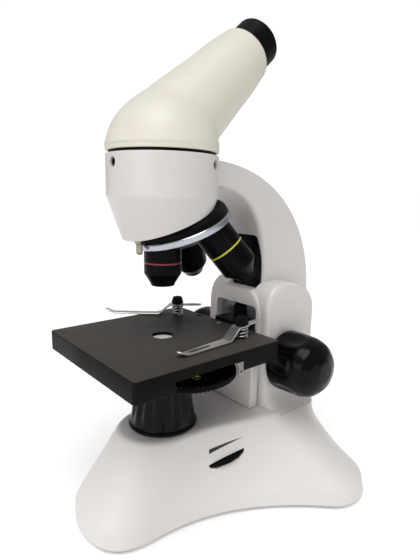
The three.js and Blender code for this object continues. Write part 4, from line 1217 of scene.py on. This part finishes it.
def make_clip(side, x, turn):
    place = place_at(x, CLIP_Y, STAGE["top"], turn)
    arm, post, node = f"clip_arm_{side}", f"clip_post_{side}", f"clip_knob_{side}"
    piece(f"clip_finger_{side}", clip_strip(), STEEL, arm, [f"clip_strip_{side}"], place)
    piece(f"clip_coil_{side}", clip_spring(), STEEL, post, [f"clip_spring_{side}"], place, 60)
    piece(f"clip_button_{side}", clip_knob(), MOULDED_BLACK, post, [node], place)


def make_stage():
    piece("stage_table", stage_plate(), STAGE_BLACK, "stage", ["stage_plate"])
    piece("stage_window", stage_window(), FROSTED, "stage", ["stage_glass"])
    place = place_at(0, STAGE["screw_y"], 0)
    piece("stage_fixing_screw", stage_screw(), STEEL, "stage", ["stage_screw"], place)
    keep("stage_bracket", SATIN_BLACK, 0.3)
    keep("disc_pivot", STEEL)
    piece("disc_stop", disc_tab(), DULL_STEEL, "stage", ["disc_tab"])
    make_disc()
    for side, (x, turn) in CLIPS.items():
        make_clip(side, x, turn)


# ---- studio

WARM = (1, 0.99, 0.98)
ROOM = {"side": 0.24, "top": 0.48, "backdrop": 1.02}
FLOOR_GLOW = 0.19


def add_light(name, kind, strength, turn):
    data = bpy.data.lights.new(name, kind)
    data.energy = strength
    data.color = WARM
    light = add_object(name, data)
    light.rotation_euler = turn.to_euler()
    return light


def area_light(name, place, target, size, strength):
    turn = (Vector(target) - Vector(place)).to_track_quat("-Z", "Y")
    light = add_light(name, "AREA", strength, turn)
    light.location = place
    light.data.shape = "RECTANGLE"
    light.data.size, light.data.size_y = size


def soft_sun(name, towards, strength, spread_degrees):
    """Even light from one side of the sky, with soft shadows."""
    light = add_light(name, "SUN", strength, Vector(towards).to_track_quat("Z", "Y"))
    light.data.angle = radians(spread_degrees)


def light_room():
    """A dim room that is brighter overhead, and plain white where the camera sees past the floor."""
    world = bpy.data.worlds.new("studio")
    bpy.context.scene.world = world
    world.use_nodes = True
    tree = world.node_tree
    background = tree.nodes["Background"]
    split = tree.nodes.new("ShaderNodeSeparateXYZ")
    link(tree.nodes.new("ShaderNodeTexCoord").outputs["Generated"], split.inputs[0])
    height = spread(tree, split.outputs[2], ROOM["side"], ROOM["top"], -0.05, 0.75)
    link(height, background.inputs[1])
    backdrop = tree.nodes.new("ShaderNodeBackground")
    backdrop.inputs[1].default_value = ROOM["backdrop"]
    path = tree.nodes.new("ShaderNodeLightPath")
    mix = tree.nodes.new("ShaderNodeMixShader")
    link(path.outputs["Is Camera Ray"], mix.inputs[0])
    for i, side in enumerate((background, backdrop), 1):
        side.inputs[0].default_value = (1, 1, 1, 1)
        link(side.outputs[0], mix.inputs[i])
    link(mix.outputs[0], tree.nodes["World Output"].inputs[0])


def make_floor():
    bm = bmesh.new()
    bmesh.ops.create_grid(bm, x_segments=1, y_segments=1, size=6)
    floor = as_object(bm, "floor")
    paper = finish_material("floor_paper", (0.9, 0.9, 0.9), 0.8, tone=0.004, patch=2, grain=200)
    shader_of(paper).inputs["Emission Color"].default_value = (1, 1, 1, 1)
    shader_of(paper).inputs["Emission Strength"].default_value = FLOOR_GLOW
    floor.data.materials.append(paper)


def make_studio():
    make_floor()
    light_room()
    soft_sun("overhead", (0.3, -0.35, 1.0), 1.85, 42)
    area_light("front_panel", (0.45, -1.5, 0.45), (0, 0, 0.12), (1.1, 0.6), 3.9)
    area_light("back_panel", (-1.25, 0.95, 0.7), (0, 0, 0.1), (1.5, 0.7), 0.6)
    bpy.data.lights["back_panel"].color = (1, 0.99, 0.985)
    settings = bpy.context.scene.view_settings
    settings.view_transform = "Standard"
    settings.look = "None"


make_base()
make_arm()
make_focus_drive()
make_turret()
make_head()
make_stage()
make_studio()
